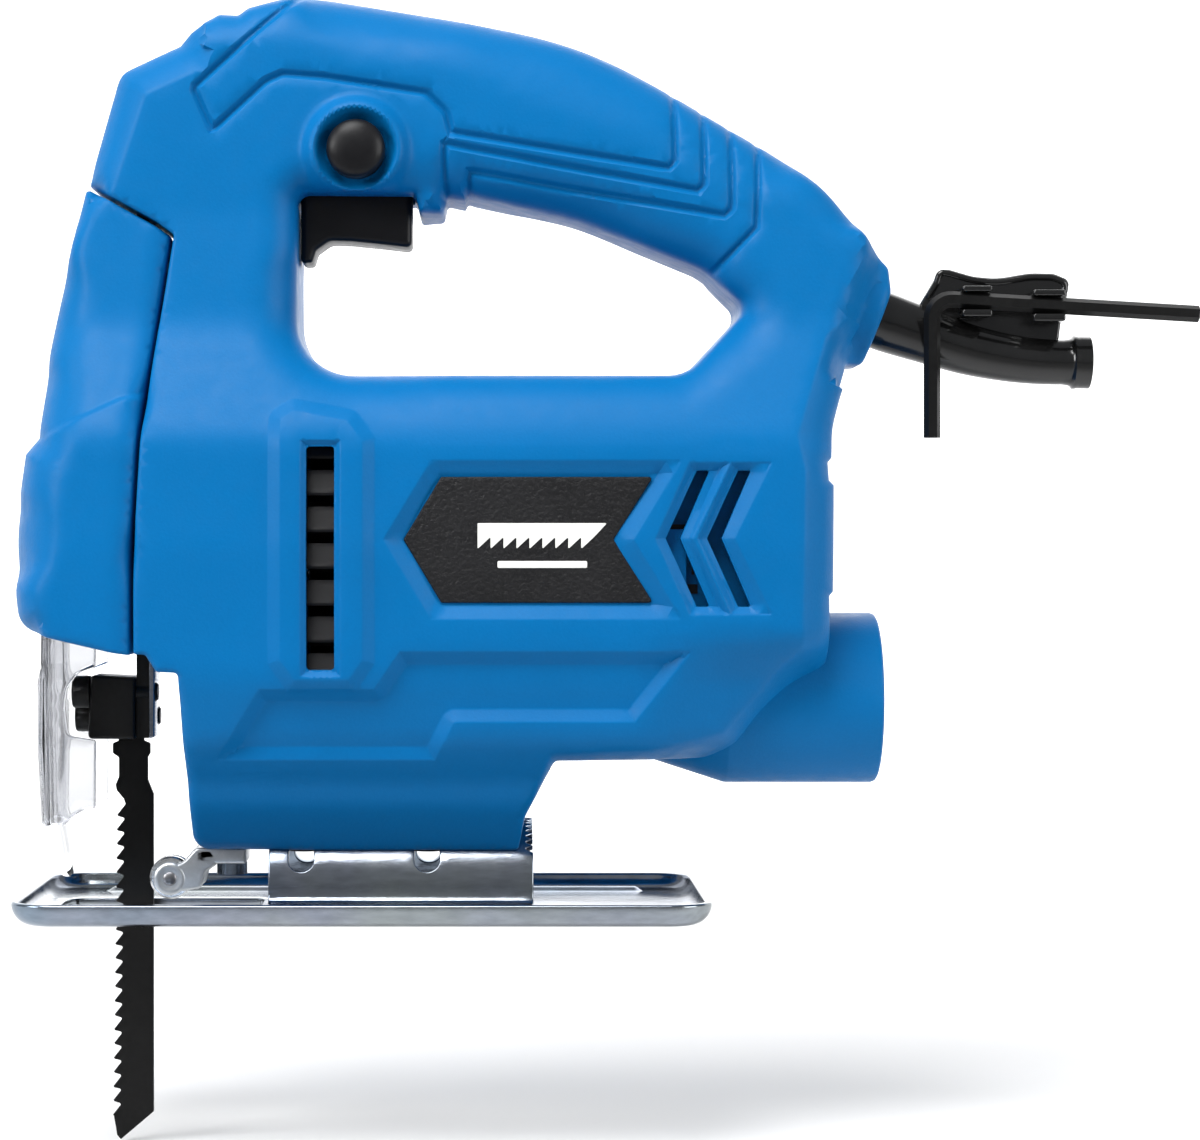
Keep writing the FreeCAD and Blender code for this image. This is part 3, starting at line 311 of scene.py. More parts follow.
def spread(tree, value, low, high):
    """Maps the middle of a noise, 0.3 to 0.7, to low .. high; these may be sockets or numbers."""
    ranged = node(tree, "ShaderNodeMapRange")
    ranged.inputs["From Min"].default_value, ranged.inputs["From Max"].default_value = 0.3, 0.7
    tree.links.new(value, ranged.inputs["Value"])
    for label, end in (("To Min", low), ("To Max", high)):
        if isinstance(end, (int, float)):
            ranged.inputs[label].default_value = end
        else:
            tree.links.new(end, ranged.inputs[label])
    return ranged.outputs["Result"]


def sum_of(tree, a, b, operation="ADD"):
    maths = node(tree, "ShaderNodeMath", operation=operation)
    for socket, value in zip(maths.inputs, (a, b)):
        if isinstance(value, (int, float)):
            socket.default_value = value
        else:
            tree.links.new(value, socket)
    return maths.outputs[0]


SURFACE_INPUTS = [("Colour", "NodeSocketColor", (1, 1, 1, 1)), ("Grains per metre", "NodeSocketFloat", 1500.0),
                  ("Shade", "NodeSocketFloat", 0.05), ("Base Roughness", "NodeSocketFloat", 0.5)]
SURFACE_OUTPUTS = [("Colour", "NodeSocketColor"), ("Roughness", "NodeSocketFloat"), ("Height", "NodeSocketFloat")]


def surface_group(name, fine_stretch, cloud, with_tint):
    """Fine grain for the height, slow clouds for the colour, and a middle noise for the roughness."""
    tree, given, out = new_group(name, SURFACE_INPUTS, SURFACE_OUTPUTS)
    link = tree.links.new
    grains = given.outputs["Grains per metre"]
    fine = scaled_noise(tree, grains, 1.0, fine_stretch)
    middle = scaled_noise(tree, grains, 0.17, fine_stretch)
    clouds = scaled_noise(tree, grains, cloud, (1, 1, 1), 4.0)
    dark = sum_of(tree, 1.0, given.outputs["Shade"], "SUBTRACT")
    light = sum_of(tree, 1.0, given.outputs["Shade"])
    tone = spread(tree, sum_of(tree, sum_of(tree, clouds.outputs["Fac"], fine.outputs["Fac"]), 0.5, "MULTIPLY"), dark, light)
    mix = node(tree, "ShaderNodeMix", data_type="RGBA", blend_type="MULTIPLY")
    mix.inputs["Factor"].default_value = 1.0
    link(given.outputs["Colour"], mix.inputs["A"])
    link(tone, mix.inputs["B"])
    colour = mix.outputs["Result"]
    if with_tint:
        ramp_node = node(tree, "ShaderNodeValToRGB")
        bands = ramp_node.color_ramp
        bands.elements[0].color, bands.elements[0].position = (0.84, 0.92, 1.0, 1), 0.36
        bands.elements[1].color, bands.elements[1].position = (1.0, 0.97, 0.88, 1), 0.64
        extra = bands.elements.new(0.5)
        extra.color = (1.0, 0.96, 1.0, 1)
        link(clouds.outputs["Fac"], ramp_node.inputs["Fac"])
        tint = node(tree, "ShaderNodeMix", data_type="RGBA", blend_type="MULTIPLY")
        tint.inputs["Factor"].default_value = 1.0
        link(colour, tint.inputs["A"])
        link(ramp_node.outputs["Color"], tint.inputs["B"])
        colour = tint.outputs["Result"]
    rough = sum_of(tree, given.outputs["Base Roughness"], spread(tree, middle.outputs["Fac"], -0.06, 0.06))
    link(colour, out.inputs["Colour"])
    link(rough, out.inputs["Roughness"])
    link(fine.outputs["Fac"], out.inputs["Height"])
    return tree


moulded = surface_group("moulded_grain", (1, 1, 1), 0.02, False)
metal = surface_group("metal_grain", (1, 1, 1), 0.03, False)
streaked = surface_group("ground_streaks", (0.06, 1, 1), 0.02, False)
plated = surface_group("plated_clouds", (0.35, 1, 1), 0.025, True)


def finish(name, group, colour, roughness=0.5, grains=1500.0, shade=0.05, bump=0.15, depth=0.00006, metallic=0.0,
           coat=0.0, transmission=0.0, ior=1.5, spec=0.25):
    """A material: the group's colour, roughness and height, and the plain values on the shader itself."""
    material = bpy.data.materials.new(name)
    material.use_nodes = True
    tree = material.node_tree
    shader = tree.nodes["Principled BSDF"]
    use = node(tree, "ShaderNodeGroup")
    use.node_tree = group
    use.inputs["Colour"].default_value = (*colour, 1)
    use.inputs["Grains per metre"].default_value = grains
    use.inputs["Shade"].default_value = shade
    use.inputs["Base Roughness"].default_value = roughness
    raised = node(tree, "ShaderNodeBump", Strength=bump, Distance=depth)
    tree.links.new(use.outputs["Colour"], shader.inputs["Base Color"])
    tree.links.new(use.outputs["Roughness"], shader.inputs["Roughness"])
    tree.links.new(use.outputs["Height"], raised.inputs["Height"])
    tree.links.new(raised.outputs["Normal"], shader.inputs["Normal"])
    shader.inputs["Metallic"].default_value = metallic
    shader.inputs["Coat Weight"].default_value = coat
    shader.inputs["Transmission Weight"].default_value = transmission
    shader.inputs["IOR"].default_value = ior
    shader.inputs["Specular IOR Level"].default_value = spec
    material.diffuse_color = (*colour, 1)
    return material


# %% The finishes of this tool
FINISH = {
    "blue_plastic": finish("blue_plastic", moulded, (0.0003, 0.112, 0.312), 0.42, 1700, 0.06, 0.35, 0.00010, spec=0.10),
    "black_plastic": finish("black_plastic", moulded, (0.005, 0.005, 0.006), 0.38, 1600, 0.12, 0.25, spec=0.2),
    "white_plastic": finish("white_plastic", moulded, (0.72, 0.72, 0.69), 0.45, 900, 0.04, 0.1),
    "yellow_plastic": finish("yellow_plastic", moulded, (0.62, 0.40, 0.05), 0.4, 900, 0.04, 0.1),
    "badge_black": finish("badge_black", moulded, (0.007, 0.007, 0.008), 0.45, 1100, 0.6, 1.0, 0.0004, spec=0.25),
    "black_rubber": finish("black_rubber", moulded, (0.006, 0.006, 0.006), 0.15, 500, 0.12, 0.10, 0.0001, spec=0.5),
    "black_steel": finish("black_steel", metal, (0.008, 0.008, 0.008), 0.38, 900, 0.25, 0.15, metallic=0.3, spec=0.2),
    "blade_black": finish("blade_black", metal, (0.006, 0.006, 0.006), 0.36, 800, 0.3, 0.12, metallic=0.3, spec=0.2),
    "dark_steel": finish("dark_steel", streaked, (0.22, 0.22, 0.23), 0.35, 1200, 0.2, 0.2, metallic=1.0),
    "bright_steel": finish("bright_steel", streaked, (0.62, 0.63, 0.64), 0.24, 1400, 0.1, 0.15, metallic=1.0),
    "spring_steel": finish("spring_steel", streaked, (0.42, 0.42, 0.43), 0.3, 1400, 0.1, 0.15, metallic=1.0),
    "zinc_steel": finish("zinc_steel", plated, (0.235, 0.268, 0.305), 0.19, 700, 0.25, 0.25, 0.00014, metallic=1.0),
    "cast_zinc": finish("cast_zinc", metal, (0.46, 0.48, 0.50), 0.36, 900, 0.12, 0.35, 0.00018, metallic=0.85),
    "cast_aluminium": finish("cast_aluminium", metal, (0.60, 0.61, 0.62), 0.48, 700, 0.12, 0.4, 0.00018, metallic=0.9),
    "lamination_steel": finish("lamination_steel", streaked, (0.24, 0.24, 0.25), 0.42, 1800, 0.3, 0.5, metallic=0.9),
    "copper_winding": finish("copper_winding", streaked, (0.52, 0.17, 0.06), 0.3, 1500, 0.3, 0.6, metallic=0.8),
    "bronze": finish("bronze", metal, (0.45, 0.29, 0.13), 0.45, 1500, 0.15, 0.3, metallic=0.9),
    "brass": finish("brass", streaked, (0.68, 0.49, 0.20), 0.3, 1200, 0.1, 0.15, metallic=1.0),
    "carbon": finish("carbon", moulded, (0.03, 0.03, 0.03), 0.6, 1500, 0.2, 0.3),
    "clear_plastic": finish("clear_plastic", moulded, (0.78, 0.785, 0.80), 0.07, 120, 0.01, 0.12, 0.0003,
                            transmission=1.0, ior=1.5, spec=0.5),
}
slot_of = {part["node"]: part["material_slot"] for part in frame["record"]["subparts"]}
for name, thing in nodes.items():
    thing.data.materials.clear()
    thing.data.materials.append(FINISH[slot_of[name]])
print("finishes", len(FINISH))


def build(name, parts, body, stands_for, slot, angle=35, mend=True):
    """Joins (points, faces) parts into one piece, closes its seams, turns its faces out, and sets
    its body, the CAD nodes that it stands for, and its finish."""
    points, faces, start = [], [], 0
    for part_points, part_faces in parts:
        points.append(np.asarray(part_points, float))
        faces += [np.asarray(f) + start for f in part_faces]
        start += len(part_points)
    piece = add_mesh(name, np.concatenate(points), faces, None)
    if mend:
        work = bmesh.new()
        work.from_mesh(piece.data)
        bmesh.ops.remove_doubles(work, verts=work.verts, dist=2e-6)
        bmesh.ops.dissolve_degenerate(work, edges=work.edges, dist=1e-7)
        bmesh.ops.recalc_face_normals(work, faces=work.faces)
        work.to_mesh(piece.data)
        work.free()
    piece.data.shade_smooth()
    piece.data.set_sharp_from_angle(angle=math.radians(angle))
    piece.data.materials.append(FINISH[slot])
    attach(piece, body)
    if stands_for:
        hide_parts(*stands_for)
    return piece


# %% [markdown]
# ## The moulded housing
# The real housing is two blue mouldings that meet on the middle plane, and a cover over the gear
# end.  Each one is a thin wall.  Seen from its side, the outer face of such a moulding is a height
# over a flat drawing: every point of the drawing has one distance from the middle plane.  So the
# drawing is filled with triangles that keep every edge line, and the height of each corner is
# worked out from its distances to those lines.

# %% The drawing, in millimetres: (x, z, corner radius)
WALL = 2.5
BODY_LOOP = [
    (-45.5, 54.9, .5), (-43.2, 54.8, 1), (-41.0, 51.3, 1), (-36.7, 51.1, 1), (-35.2, 13.8, 3.5),
    (31.9, 13.8, 1), (33.2, 21, 6), (39.2, 32.8, 1.5), (95.2, 32.8, 8), (94.9, 66.6, .4),
    (95.7, 67.4, .4), (95.9, 89.0, .4), (94.8, 90.0, .3), (94.6, 93.6, .3), (95.5, 94.6, .3),
    (95.9, 101, 14), (100.0, 114.4, .8), (103.6, 114.4, 1.6), (109.1, 129.2, 4), (108.8, 134.4, 2),
    (104.9, 138.5, 2),
    (95.5, 150.2, 30), (86, 157.7, 60), (45, 181.7, 90),
    (-12, 191.9, 40), (-24.2, 188.3, 3), (-26.1, 186.7, 1.2), (-30.1, 186.9, 1.5), (-36.0, 183.1, 1.5),
    (-38.4, 180.7, 2), (-50.8, 174.9, 5), (-57.2, 151.4, .6), (-42.2, 143.1, 2), (-38.7, 140.4, 1),
    (-41.7, 119.8, 30), (-44.1, 99.8, 60), (-45.5, 73.8, 60)]
OPENING_LOOP = [
    (-13.8, 149.6, 2.5), (-13.8, 111.5, 12), (66, 111.5, 8), (79, 125.5, 3), (70.2, 133.8, 10),
    (44, 144.4, 60), (21.5, 149.3, .6), (20.9, 148.2, .3), (19.8, 148.4, .3), (17.2, 149.0, .8),
    (16.4, 145.5, 1), (11.6, 145.5, 1), (10.6, 149.4, .8)]
COVER_LOOP = [
    (-69.8, 59.8, 5), (-49.8, 55.1, 6), (-46.3, 54.6, .5), (-46.3, 73.8, 60), (-44.9, 99.8, 60),
    (-42.5, 119.8, 30), (-39.5, 140.2, 1), (-42.7, 142.4, 2), (-57.4, 150.6, .8), (-64.3, 122, 120),
    (-66.6, 98.9, 1), (-69.4, 95.5, 1), (-71.8, 78, 40)]
FRONT_HALF = [
    (8.7, 10, 0.5), (19, 24, 10), (20.5, 28.5, 4), (27.5, 37, 8), (31.04, 50, 30), (32, 76, 60),
    (31.04, 98, 16), (20.5, 122, 25), (17.5, 145, 40), (16.8, 180, 8), (13.5, 194, 10), (-5, 194), (-5, 10)]
# Edge rounding round the outline: (x, z, how far in it starts, how deep it falls).
ROUNDING = np.array([
    (0, 192, 17, 12), (45, 182, 19, 13), (80, 163, 17, 12), (20, 149, 13, 9), (44, 144, 15, 11),
    (66, 136, 13, 10), (79, 125, 10, 8), (66, 111, 9, 6), (30, 111, 9, 6), (-5, 112, 10, 8),
    (-13.8, 125, 10, 8.5), (-13.8, 145, 8, 6), (5, 148, 6, 4), (-52, 175, 5, 4), (-40, 181, 5, 4),
    (-25, 188, 8, 6), (-57, 160, 5, 4), (-37, 14, 2, 2), (0, 14, .6, .6), (30, 14, .6, .6),
    (-38.5, 40, 2.5, 2.5), (36, 25, 2, 2), (60, 33, 4, 4), (90, 33, 6, 6), (97.5, 50, 3, 3),
    (97.5, 80, 3.5, 3.5), (96, 103, 5, 4), (102, 114.4, 1.6, 1.5), (107.5, 124, 1.6, 1.5), (108.8, 134, 1.8, 1.8),
    (105, 138.4, 2.5, 2.5),
    (100, 147, 10, 7), (-46, 60, .8, .8), (-45, 90, .8, .8), (-42, 120, .8, .8), (-39, 140, .8, .8),
    (-50, 147, .8, .8), (-43, 51, 1.2, 1.2), (-69.6, 61, 9, 12), (-71.8, 78, 15, 23), (-69, 94, 13, 18),
    (-66.3, 105, 12, 15), (-64, 122, 10, 11), (-58, 149, 7, 6), (-60, 57, 1.2, 1)])
# Edge of the flat side: outside this line the wall falls away towards the rear and the port.
REAR_LINE = np.array([
    (106, 127), (100, 123.5), (94.4, 119.4), (87.8, 98.8), (89.4, 91.8), (88.8, 56.8), (82.3, 49.4),
    (73.3, 38.8), (58.2, 35.2), (38, 34.6), (36, 28), (33, 10)], float)
FRONT_LINE = np.array([(-62.4, 140), (-50.8, 174.9), (-38.4, 180.7)], float)


def profile(z):
    """Half width of the tool at height z, from its section seen from the front."""
    line = rounded_loop(FRONT_HALF)
    line = line[line[:, 0] > 0]
    line = line[np.argsort(line[:, 1])]
    return np.interp(z, line[:, 1], line[:, 0])


def blend_table(points, table):
    """Weighted mean of a table (x, z, values): each row counts by one over its distance to the fourth."""
    d2 = ((points[:, None] - table[None, :, :2]) ** 2).sum(2) + 1
    w = d2 ** -2.2
    return (w @ table[:, 2:]) / w.sum(1)[:, None]


def ramp(d, width, soft=0.15):
    """0 before d = 0 and 1 after d = width, with a straight slope between and slightly eased corners."""
    ease = lambda t: np.sqrt(t * t + soft * soft)
    return (ease(d) - ease(d - width) + width) / (2 * width)


def eased(t):
    """0 up to t = 0 and 1 from t = 1, as 3 t^2 - 2 t^3 between."""
    t = np.clip(t, 0, 1)
    return t * t * (3 - 2 * t)


def hump(d, half, soft=0.25):
    """1 along a line and 0 from a distance half away: a groove or a bead of even width."""
    return 1 - ramp(d - half * 0.45, half * 0.55, soft)


# %% Lines of the drawing that carry a step, a groove or a frame
PLATE = [(8.6, 77.9), (16.2, 90.5), (58.8, 90.5), (50.8, 77.9), (58.8, 65.2), (16.2, 65.2)]
BADGE_FRAME = [(4.6, 77.9, .4), (14.2, 93.8, .4), (64.4, 93.8, .4), (54.8, 77.9, .4), (64.4, 61.9, .4), (14.2, 61.9, .4)]
BADGE_SEAT = [(8.2, 77.9, .3), (16.0, 90.9, .3), (59.5, 90.9, .3), (51.4, 77.9, .3), (59.5, 64.8, .3), (16.0, 64.8, .3)]
FAN_SLOT = [(-10.9, 51.7, .8), (-5.2, 51.7, .8), (-5.2, 96.6, .8), (-10.9, 96.6, .8)]
FAN_FRAME = [(-12.0, 50.4, .3), (-3.9, 50.4, .3), (-3.9, 97.9, .3), (-12.0, 97.9, .3)]
FAN_PANEL = [(-18.6, 53.0, .5), (-14.5, 47.2, .5), (-1.0, 47.2, .5), (3.0, 53.0, .5), (3.0, 98.4, 2), (-1.0, 104.0, 3), (-14.0, 106.5, 3), (-18.6, 103.4, 3)]
BAND_OUTER = [
    (-29.4, 33.3, .4), (14.9, 33.3, .4), (18.8, 41.1, .4), (55.2, 41.1, .4), (66.6, 55.5, .4), (7.9, 55.5, .4),
    (2.7, 47.9, .4), (-20.4, 47.9, .4)]
BAND_WIDE = 2.7
ARROWS = [[(x + shift, z, .3) for x, z in ((67.5, 91.8), (70.1, 91.8), (64.2, 78.1), (70.1, 64.4), (67.5, 64.4), (61.2, 78.1))]
          for shift in (0, 8.3)]
ARROW_FRAMES = [[(x + shift, z, .3) for x, z in ((66.0, 93.4), (74.2, 93.4), (66.6, 78.1), (74.2, 62.8), (66.0, 62.8), (59.2, 78.1))]
                for shift in (0, 8.3)]
GRIP_LINES = [
    [(-13.2, 190.5), (-34.8, 170.7), (-31.0, 161.9), (-20.1, 172.0), (-16.5, 173.6), (-8, 172.9), (13.0, 169.6), (17.0, 165.6),
     (18.0, 161.6), (62.6, 154.2), (64.0, 155.6), (64.0, 178)],
    [(16.8, 148.0), (16.6, 159.3), (68.6, 149.5), (69.9, 150.9), (70.2, 173)],
    [(21.7, 148.2), (21.7, 153.8), (74.2, 144.4), (75.6, 146), (75.9, 168)],
    [(81.6, 162), (81.4, 157.4), (80.6, 142), (70.6, 131.6)]]
LEDGE_LINE = np.array([(-71.5, 97.2), (-65.5, 97.6), (-48.0, 106.0), (-44.0, 106.4)], float)
BUTTON = np.array([(-1.4, 157.8)])
SCREWS = np.array([(-43, 168), (-33, 48.8), (90, 101), (90, 141), (42, 163.5), (90.5, 72), (-0.5, 105.6), (62, 104.6), (27, 27)])
CORD_AXIS = (np.array([97.5, 127.9]), np.array([0.9489, -0.3155]))


def through_cord(points):
    """Distances square to and along the line on which the cable leaves the body."""
    q = points - CORD_AXIS[0]
    along = q @ CORD_AXIS[1]
    across = q[:, 0] * CORD_AXIS[1][1] - q[:, 1] * CORD_AXIS[1][0]
    return across, along


def side_of(points, line):
    """Distance to an open line, positive on its right hand side."""
    d = distance(points, line, closed=False)
    a, b = line[:-1], line[1:]
    q = points[:, None] - a
    run = b - a
    t = np.clip((q * run).sum(2) / (run ** 2).sum(1), 0, 1)
    near = ((q - t[..., None] * run) ** 2).sum(2).argmin(1)
    pick = np.arange(len(points))
    cross = run[near, 0] * q[pick, near, 1] - run[near, 1] * q[pick, near, 0]
    return d * np.where(cross < 0, 1, -1)


def edge_fall(points, edge_distance):
    """How far the rounded edge has fallen at a distance from the outline: a quarter of an ellipse."""
    reach, fall = blend_table(points, ROUNDING).T
    t = np.clip(1 - edge_distance / reach, 0, 1)
    return fall * (1 - np.sqrt(1 - t * t))


def body_height(points, edge_distance, left):
    """Distance of the outer face from the middle plane, on the left or the right half."""
    x, z = points.T
    h = profile(z)
    # flat bevels at the rear and along the front edge of the neck
    away = -side_of(points, REAR_LINE)
    low_rear = eased((60 - z) / 12)
    h = h - (0.86 + 0.5 * low_rear) * 0.5 * (away + np.sqrt(away ** 2 + 0.3)) - 7.0 * low_rear * eased((x - 52) / 34)
    front = 7.6 - distance(points, FRONT_LINE, closed=False)
    h = h - np.where(x < -33, 0.75 * 0.5 * (front + np.sqrt(front ** 2 + 0.3)), 0)
    # frames, recesses and the raised panel round the fan slot
    h = h + 1.3 * ramp(depth_in(points, rounded_loop(FAN_PANEL, 2)), 2.6)
    h = h - 1.2 * ramp(depth_in(points, rounded_loop(FAN_FRAME, 2)), 1.0)
    h = h - 2.3 * ramp(depth_in(points, rounded_loop(BADGE_FRAME, 2)), 3.0)
    for frame_line in ARROW_FRAMES:
        h = h - 1.5 * ramp(depth_in(points, rounded_loop(frame_line, 2)), 1.4)
    h = h - 2.3 * ramp(depth_in(points, rounded_loop(BAND_OUTER, 2)), BAND_WIDE)
    for grip_line in GRIP_LINES:
        h = h - 1.15 * hump(distance(points, np.array(grip_line, float), closed=False), 0.85)
    # collar of the cable, as a cylinder lying in the middle plane
    across, along = through_cord(points)
    collar = np.sqrt(np.clip(12.8 ** 2 - (across + 0.6) ** 2, 4.0, None))
    near_collar = (z > 108) & (along > 0.5) & (np.abs(across) < 17)
    lowered = h - 9.0 * ramp(along - 2.0, 4.5, .8)
    joined = 0.5 * (lowered + collar + np.sqrt((lowered - collar) ** 2 + 1.2))
    h = np.where(near_collar, joined, h)
    h = h - edge_fall(points, edge_distance)
    if left:
        rho = distance(points, BUTTON, closed=True)
        rise = 3.2 * (1 - ramp(rho - 9.3, 2.0, .7))
        h = h + rise - 4.6 * (1 - ramp(rho - 6.5, 1.8, .5))
    return np.maximum(h, 0.4)


def cover_height(points, edge_distance, left):
    """Outer face of the gear cover: the body's section, with a ledge across it and a bevel at the joint."""
    x, z = points.T
    h = profile(z) - 0.15
    seam = np.array([(-46.3, 52), (-46.3, 73.8), (-44.9, 99.8), (-42.5, 119.8), (-39.5, 140.2)], float)
    near = 3.2 - distance(points, seam, closed=False)
    h = h - 0.32 * 0.5 * (near + np.sqrt(near ** 2 + 0.1))
    above = -side_of(points, LEDGE_LINE)
    h = h - 0.8 * ramp(above, 1.0)
    return np.maximum(h - edge_fall(points, edge_distance), 0.4)


def seam_height(points, kind):
    """How far from the middle plane a wall ends: 0, except where another piece passes through it."""
    x, z = points.T
    y = np.zeros(len(points))
    if kind == "body":
        saddle = (x > -21.2) & (x < 36.5) & (z < 20.5)
        y = np.where(saddle, np.sqrt(np.clip(13.9 ** 2 - (z - 6) ** 2, 0, None)), y)
        y = np.where((x < -20.5) & (x > -40.5) & (z < 26), np.maximum(y, 8.0), y)
        y = np.where((x < -40) & (z < 56), np.maximum(y, 8.0), y)
        y = np.where((x > -14.2) & (x < 10.3) & (z > 146.8) & (z < 154), np.maximum(y, 7.25), y)
        port = (x > 93) & (np.abs(z - 44.9) < 17.8)
        y = np.where(port, np.sqrt(np.clip(17.8 ** 2 - (z - 44.9) ** 2, 0, None)), y)
        across, along = through_cord(points)
        y = np.where((along > 4) & (z > 108) & (np.abs(across) < 6.2), np.sqrt(np.clip(6.2 ** 2 - across ** 2, 0, None)), y)
        seam = np.array([(-46, 50), (-45.5, 73.8), (-44.1, 99.8), (-41.7, 119.8), (-38.7, 140.4)], float)
        y = np.where((distance(points, seam, closed=False) < 3.4) & (z > 56) & (z < 141.5), np.maximum(y, 12.0), y)
    else:
        y = np.where((z < 64) & (x > -71), 12.6, y)
        y = np.where((x > -50) & (z < 141), np.maximum(y, 12.0), y)
    return y


# %% Wall builder
def hexagonal(low, high, pitch):
    """Points in rows, every second row moved by half a pitch."""
    rows = np.arange(low[1], high[1], pitch * 0.866)
    columns = np.arange(low[0], high[0], pitch)
    x = columns[None, :] + np.where(np.arange(len(rows)) % 2, pitch / 2, 0)[:, None]
    return np.stack([x.ravel(), np.repeat(rows, len(columns))], 1)


def thin_out(points, fixed, gap):
    """Drops points nearer than gap to the fixed ones, found through a grid of small cells."""
    cell = gap
    key = lambda p: np.round(p / cell).astype(np.int64)
    taken = set()
    for dx in (-1, 0, 1):
        for dz in (-1, 0, 1):
            k = key(fixed) + (dx, dz)
            taken.update((k[:, 0] * 100003 + k[:, 1]).tolist())
    k = key(points)
    return points[~np.isin(k[:, 0] * 100003 + k[:, 1], np.fromiter(taken, np.int64))]


def wall_piece(name, loops, holes, height, kind, side, creases=(), pitch=1.9):
    """A moulded wall over the drawing: outer face, edge at the middle plane, and inner face.
    side is -1 for the left half (-Y) and 1 for the right; both give a cover over the whole width."""
    loops = [rounded_loop(loop, 1.1) for loop in loops]
    holes = [rounded_loop(hole, 1.0) for hole in holes]
    edge = lambda p: np.min([distance(p, loop) for loop in loops], axis=0)
    within = lambda p: inside(p, loops[0]) & ~np.any([inside(p, l) for l in loops[1:] + holes], axis=0) \
        if len(loops + holes) > 1 else inside(p, loops[0])
    # rows that follow the outline, closer together where the rounded edge is steep
    rows = []
    for number, loop in enumerate(loops):
        loop = anticlockwise(loop)
        reach = blend_table(loop, ROUNDING)[:, 0]
        for share in (0.02, 0.06, 0.13, 0.23, 0.36, 0.52, 0.72, 1.0):
            row = offset_line(loop, share * reach * (1 if number == 0 else -1))
            rows.append(row[::1 if share < 0.3 else 2][edge(row[::1 if share < 0.3 else 2]) > 0.93 * share * reach[::1 if share < 0.3 else 2]])
    # rows along each crease
    for line, closed, offsets in creases:
        dense = rounded_loop(line, 1.2) if closed else resample(np.array(line, float), 1.1)
        for by in offsets:
            rows.append(offset_line(dense, by, closed))
    rows = np.concatenate(rows)
    rows = rows[within(rows)]
    rows = rows[edge(rows) > 0.12]
    every = np.concatenate([rows] + loops + holes)
    grid = hexagonal(loops[0].min(0), loops[0].max(0), pitch)
    grid = grid[within(grid)]
    grid = thin_out(grid[edge(grid) > 0.6], every, 0.75)
    outer, outer_faces = triangulate(np.concatenate([rows, grid]), loops + holes, within)
    # the inner face starts one wall further in
    inner_loops = []
    for number, loop in enumerate(loops):
        loop = anticlockwise(loop)
        row = offset_line(loop, WALL * (1 if number == 0 else -1))
        inner_loops.append(row[edge(row) > 0.96 * WALL][::2])
    in_inner = lambda p: within(p) & inside(p, inner_loops[0]) & (
        ~np.any([inside(p, l) for l in inner_loops[1:]], axis=0) if len(inner_loops) > 1 else True)
    coarse = hexagonal(loops[0].min(0), loops[0].max(0), 4.0)
    coarse = coarse[in_inner(coarse)]
    coarse = thin_out(coarse, np.concatenate(inner_loops + holes), 1.6)
    inner, inner_faces = triangulate(coarse, inner_loops + holes, in_inner)
    rim, rim_faces = triangulate(np.zeros((0, 2)), loops + inner_loops, lambda p: inside(p, loops[0]) & (
        ~np.any([inside(p, l) for l in loops[1:]], axis=0) if len(loops) > 1 else True) & ~(
        inside(p, inner_loops[0]) & (~np.any([inside(p, l) for l in inner_loops[1:]], axis=0) if len(loops) > 1 else True)))
    top = height(outer, edge(outer), side < 0)
    under = np.maximum(height(inner, np.maximum(edge(inner) - WALL, 0.02), side < 0) - WALL - 0.6,
                       seam_height(inner, kind) + 0.2)
    ledge = np.minimum(seam_height(rim, kind), height(rim, edge(rim), side < 0) - 0.15)
    place = lambda flat, y: np.stack([flat[:, 0], side * y, flat[:, 1]], 1)
    points = [place(outer, top), place(inner, under), place(rim, ledge)]
    starts = np.cumsum([0] + [len(p) for p in points])
    faces = [outer_faces + starts[0], inner_faces[:, ::-1] + starts[1], rim_faces[:, ::-1] + starts[2]]

    def bridge(a, b):
        return np.stack([a, np.roll(a, -1), np.roll(b, -1), b], 1)

    quads = []
    for number, loop in enumerate(loops):
        loop = anticlockwise(loop)
        sense = 1 if number == 0 else -1
        quads.append(bridge(match(rim, loop) + starts[2], match(outer, loop) + starts[0])[:, ::sense])
        inner_loop = inner_loops[number]
        quads.append(bridge(match(inner, inner_loop) + starts[1], match(rim, inner_loop) + starts[2])[:, ::sense])
    for hole in holes:
        hole = anticlockwise(hole)
        quads.append(bridge(match(outer, hole) + starts[0], match(inner, hole) + starts[1]))
    faces = [np.concatenate(faces), np.concatenate(quads)]
    if side < 0:
        pass
    else:
        faces = [f[:, ::-1] for f in faces]
    piece = add_mesh(name, np.concatenate(points), faces, 32)
    print(name, "triangles", sum(len(f) * (f.shape[1] - 2) for f in faces))
    return piece


def resample(line, step):
    """Points at even steps along an open line."""
    gaps = np.linalg.norm(np.diff(line, axis=0), axis=1)
    total = np.concatenate([[0], np.cumsum(gaps)])
    where = np.linspace(0, total[-1], max(2, int(total[-1] / step)) + 1)
    return np.stack([np.interp(where, total, line[:, 0]), np.interp(where, total, line[:, 1])], 1)


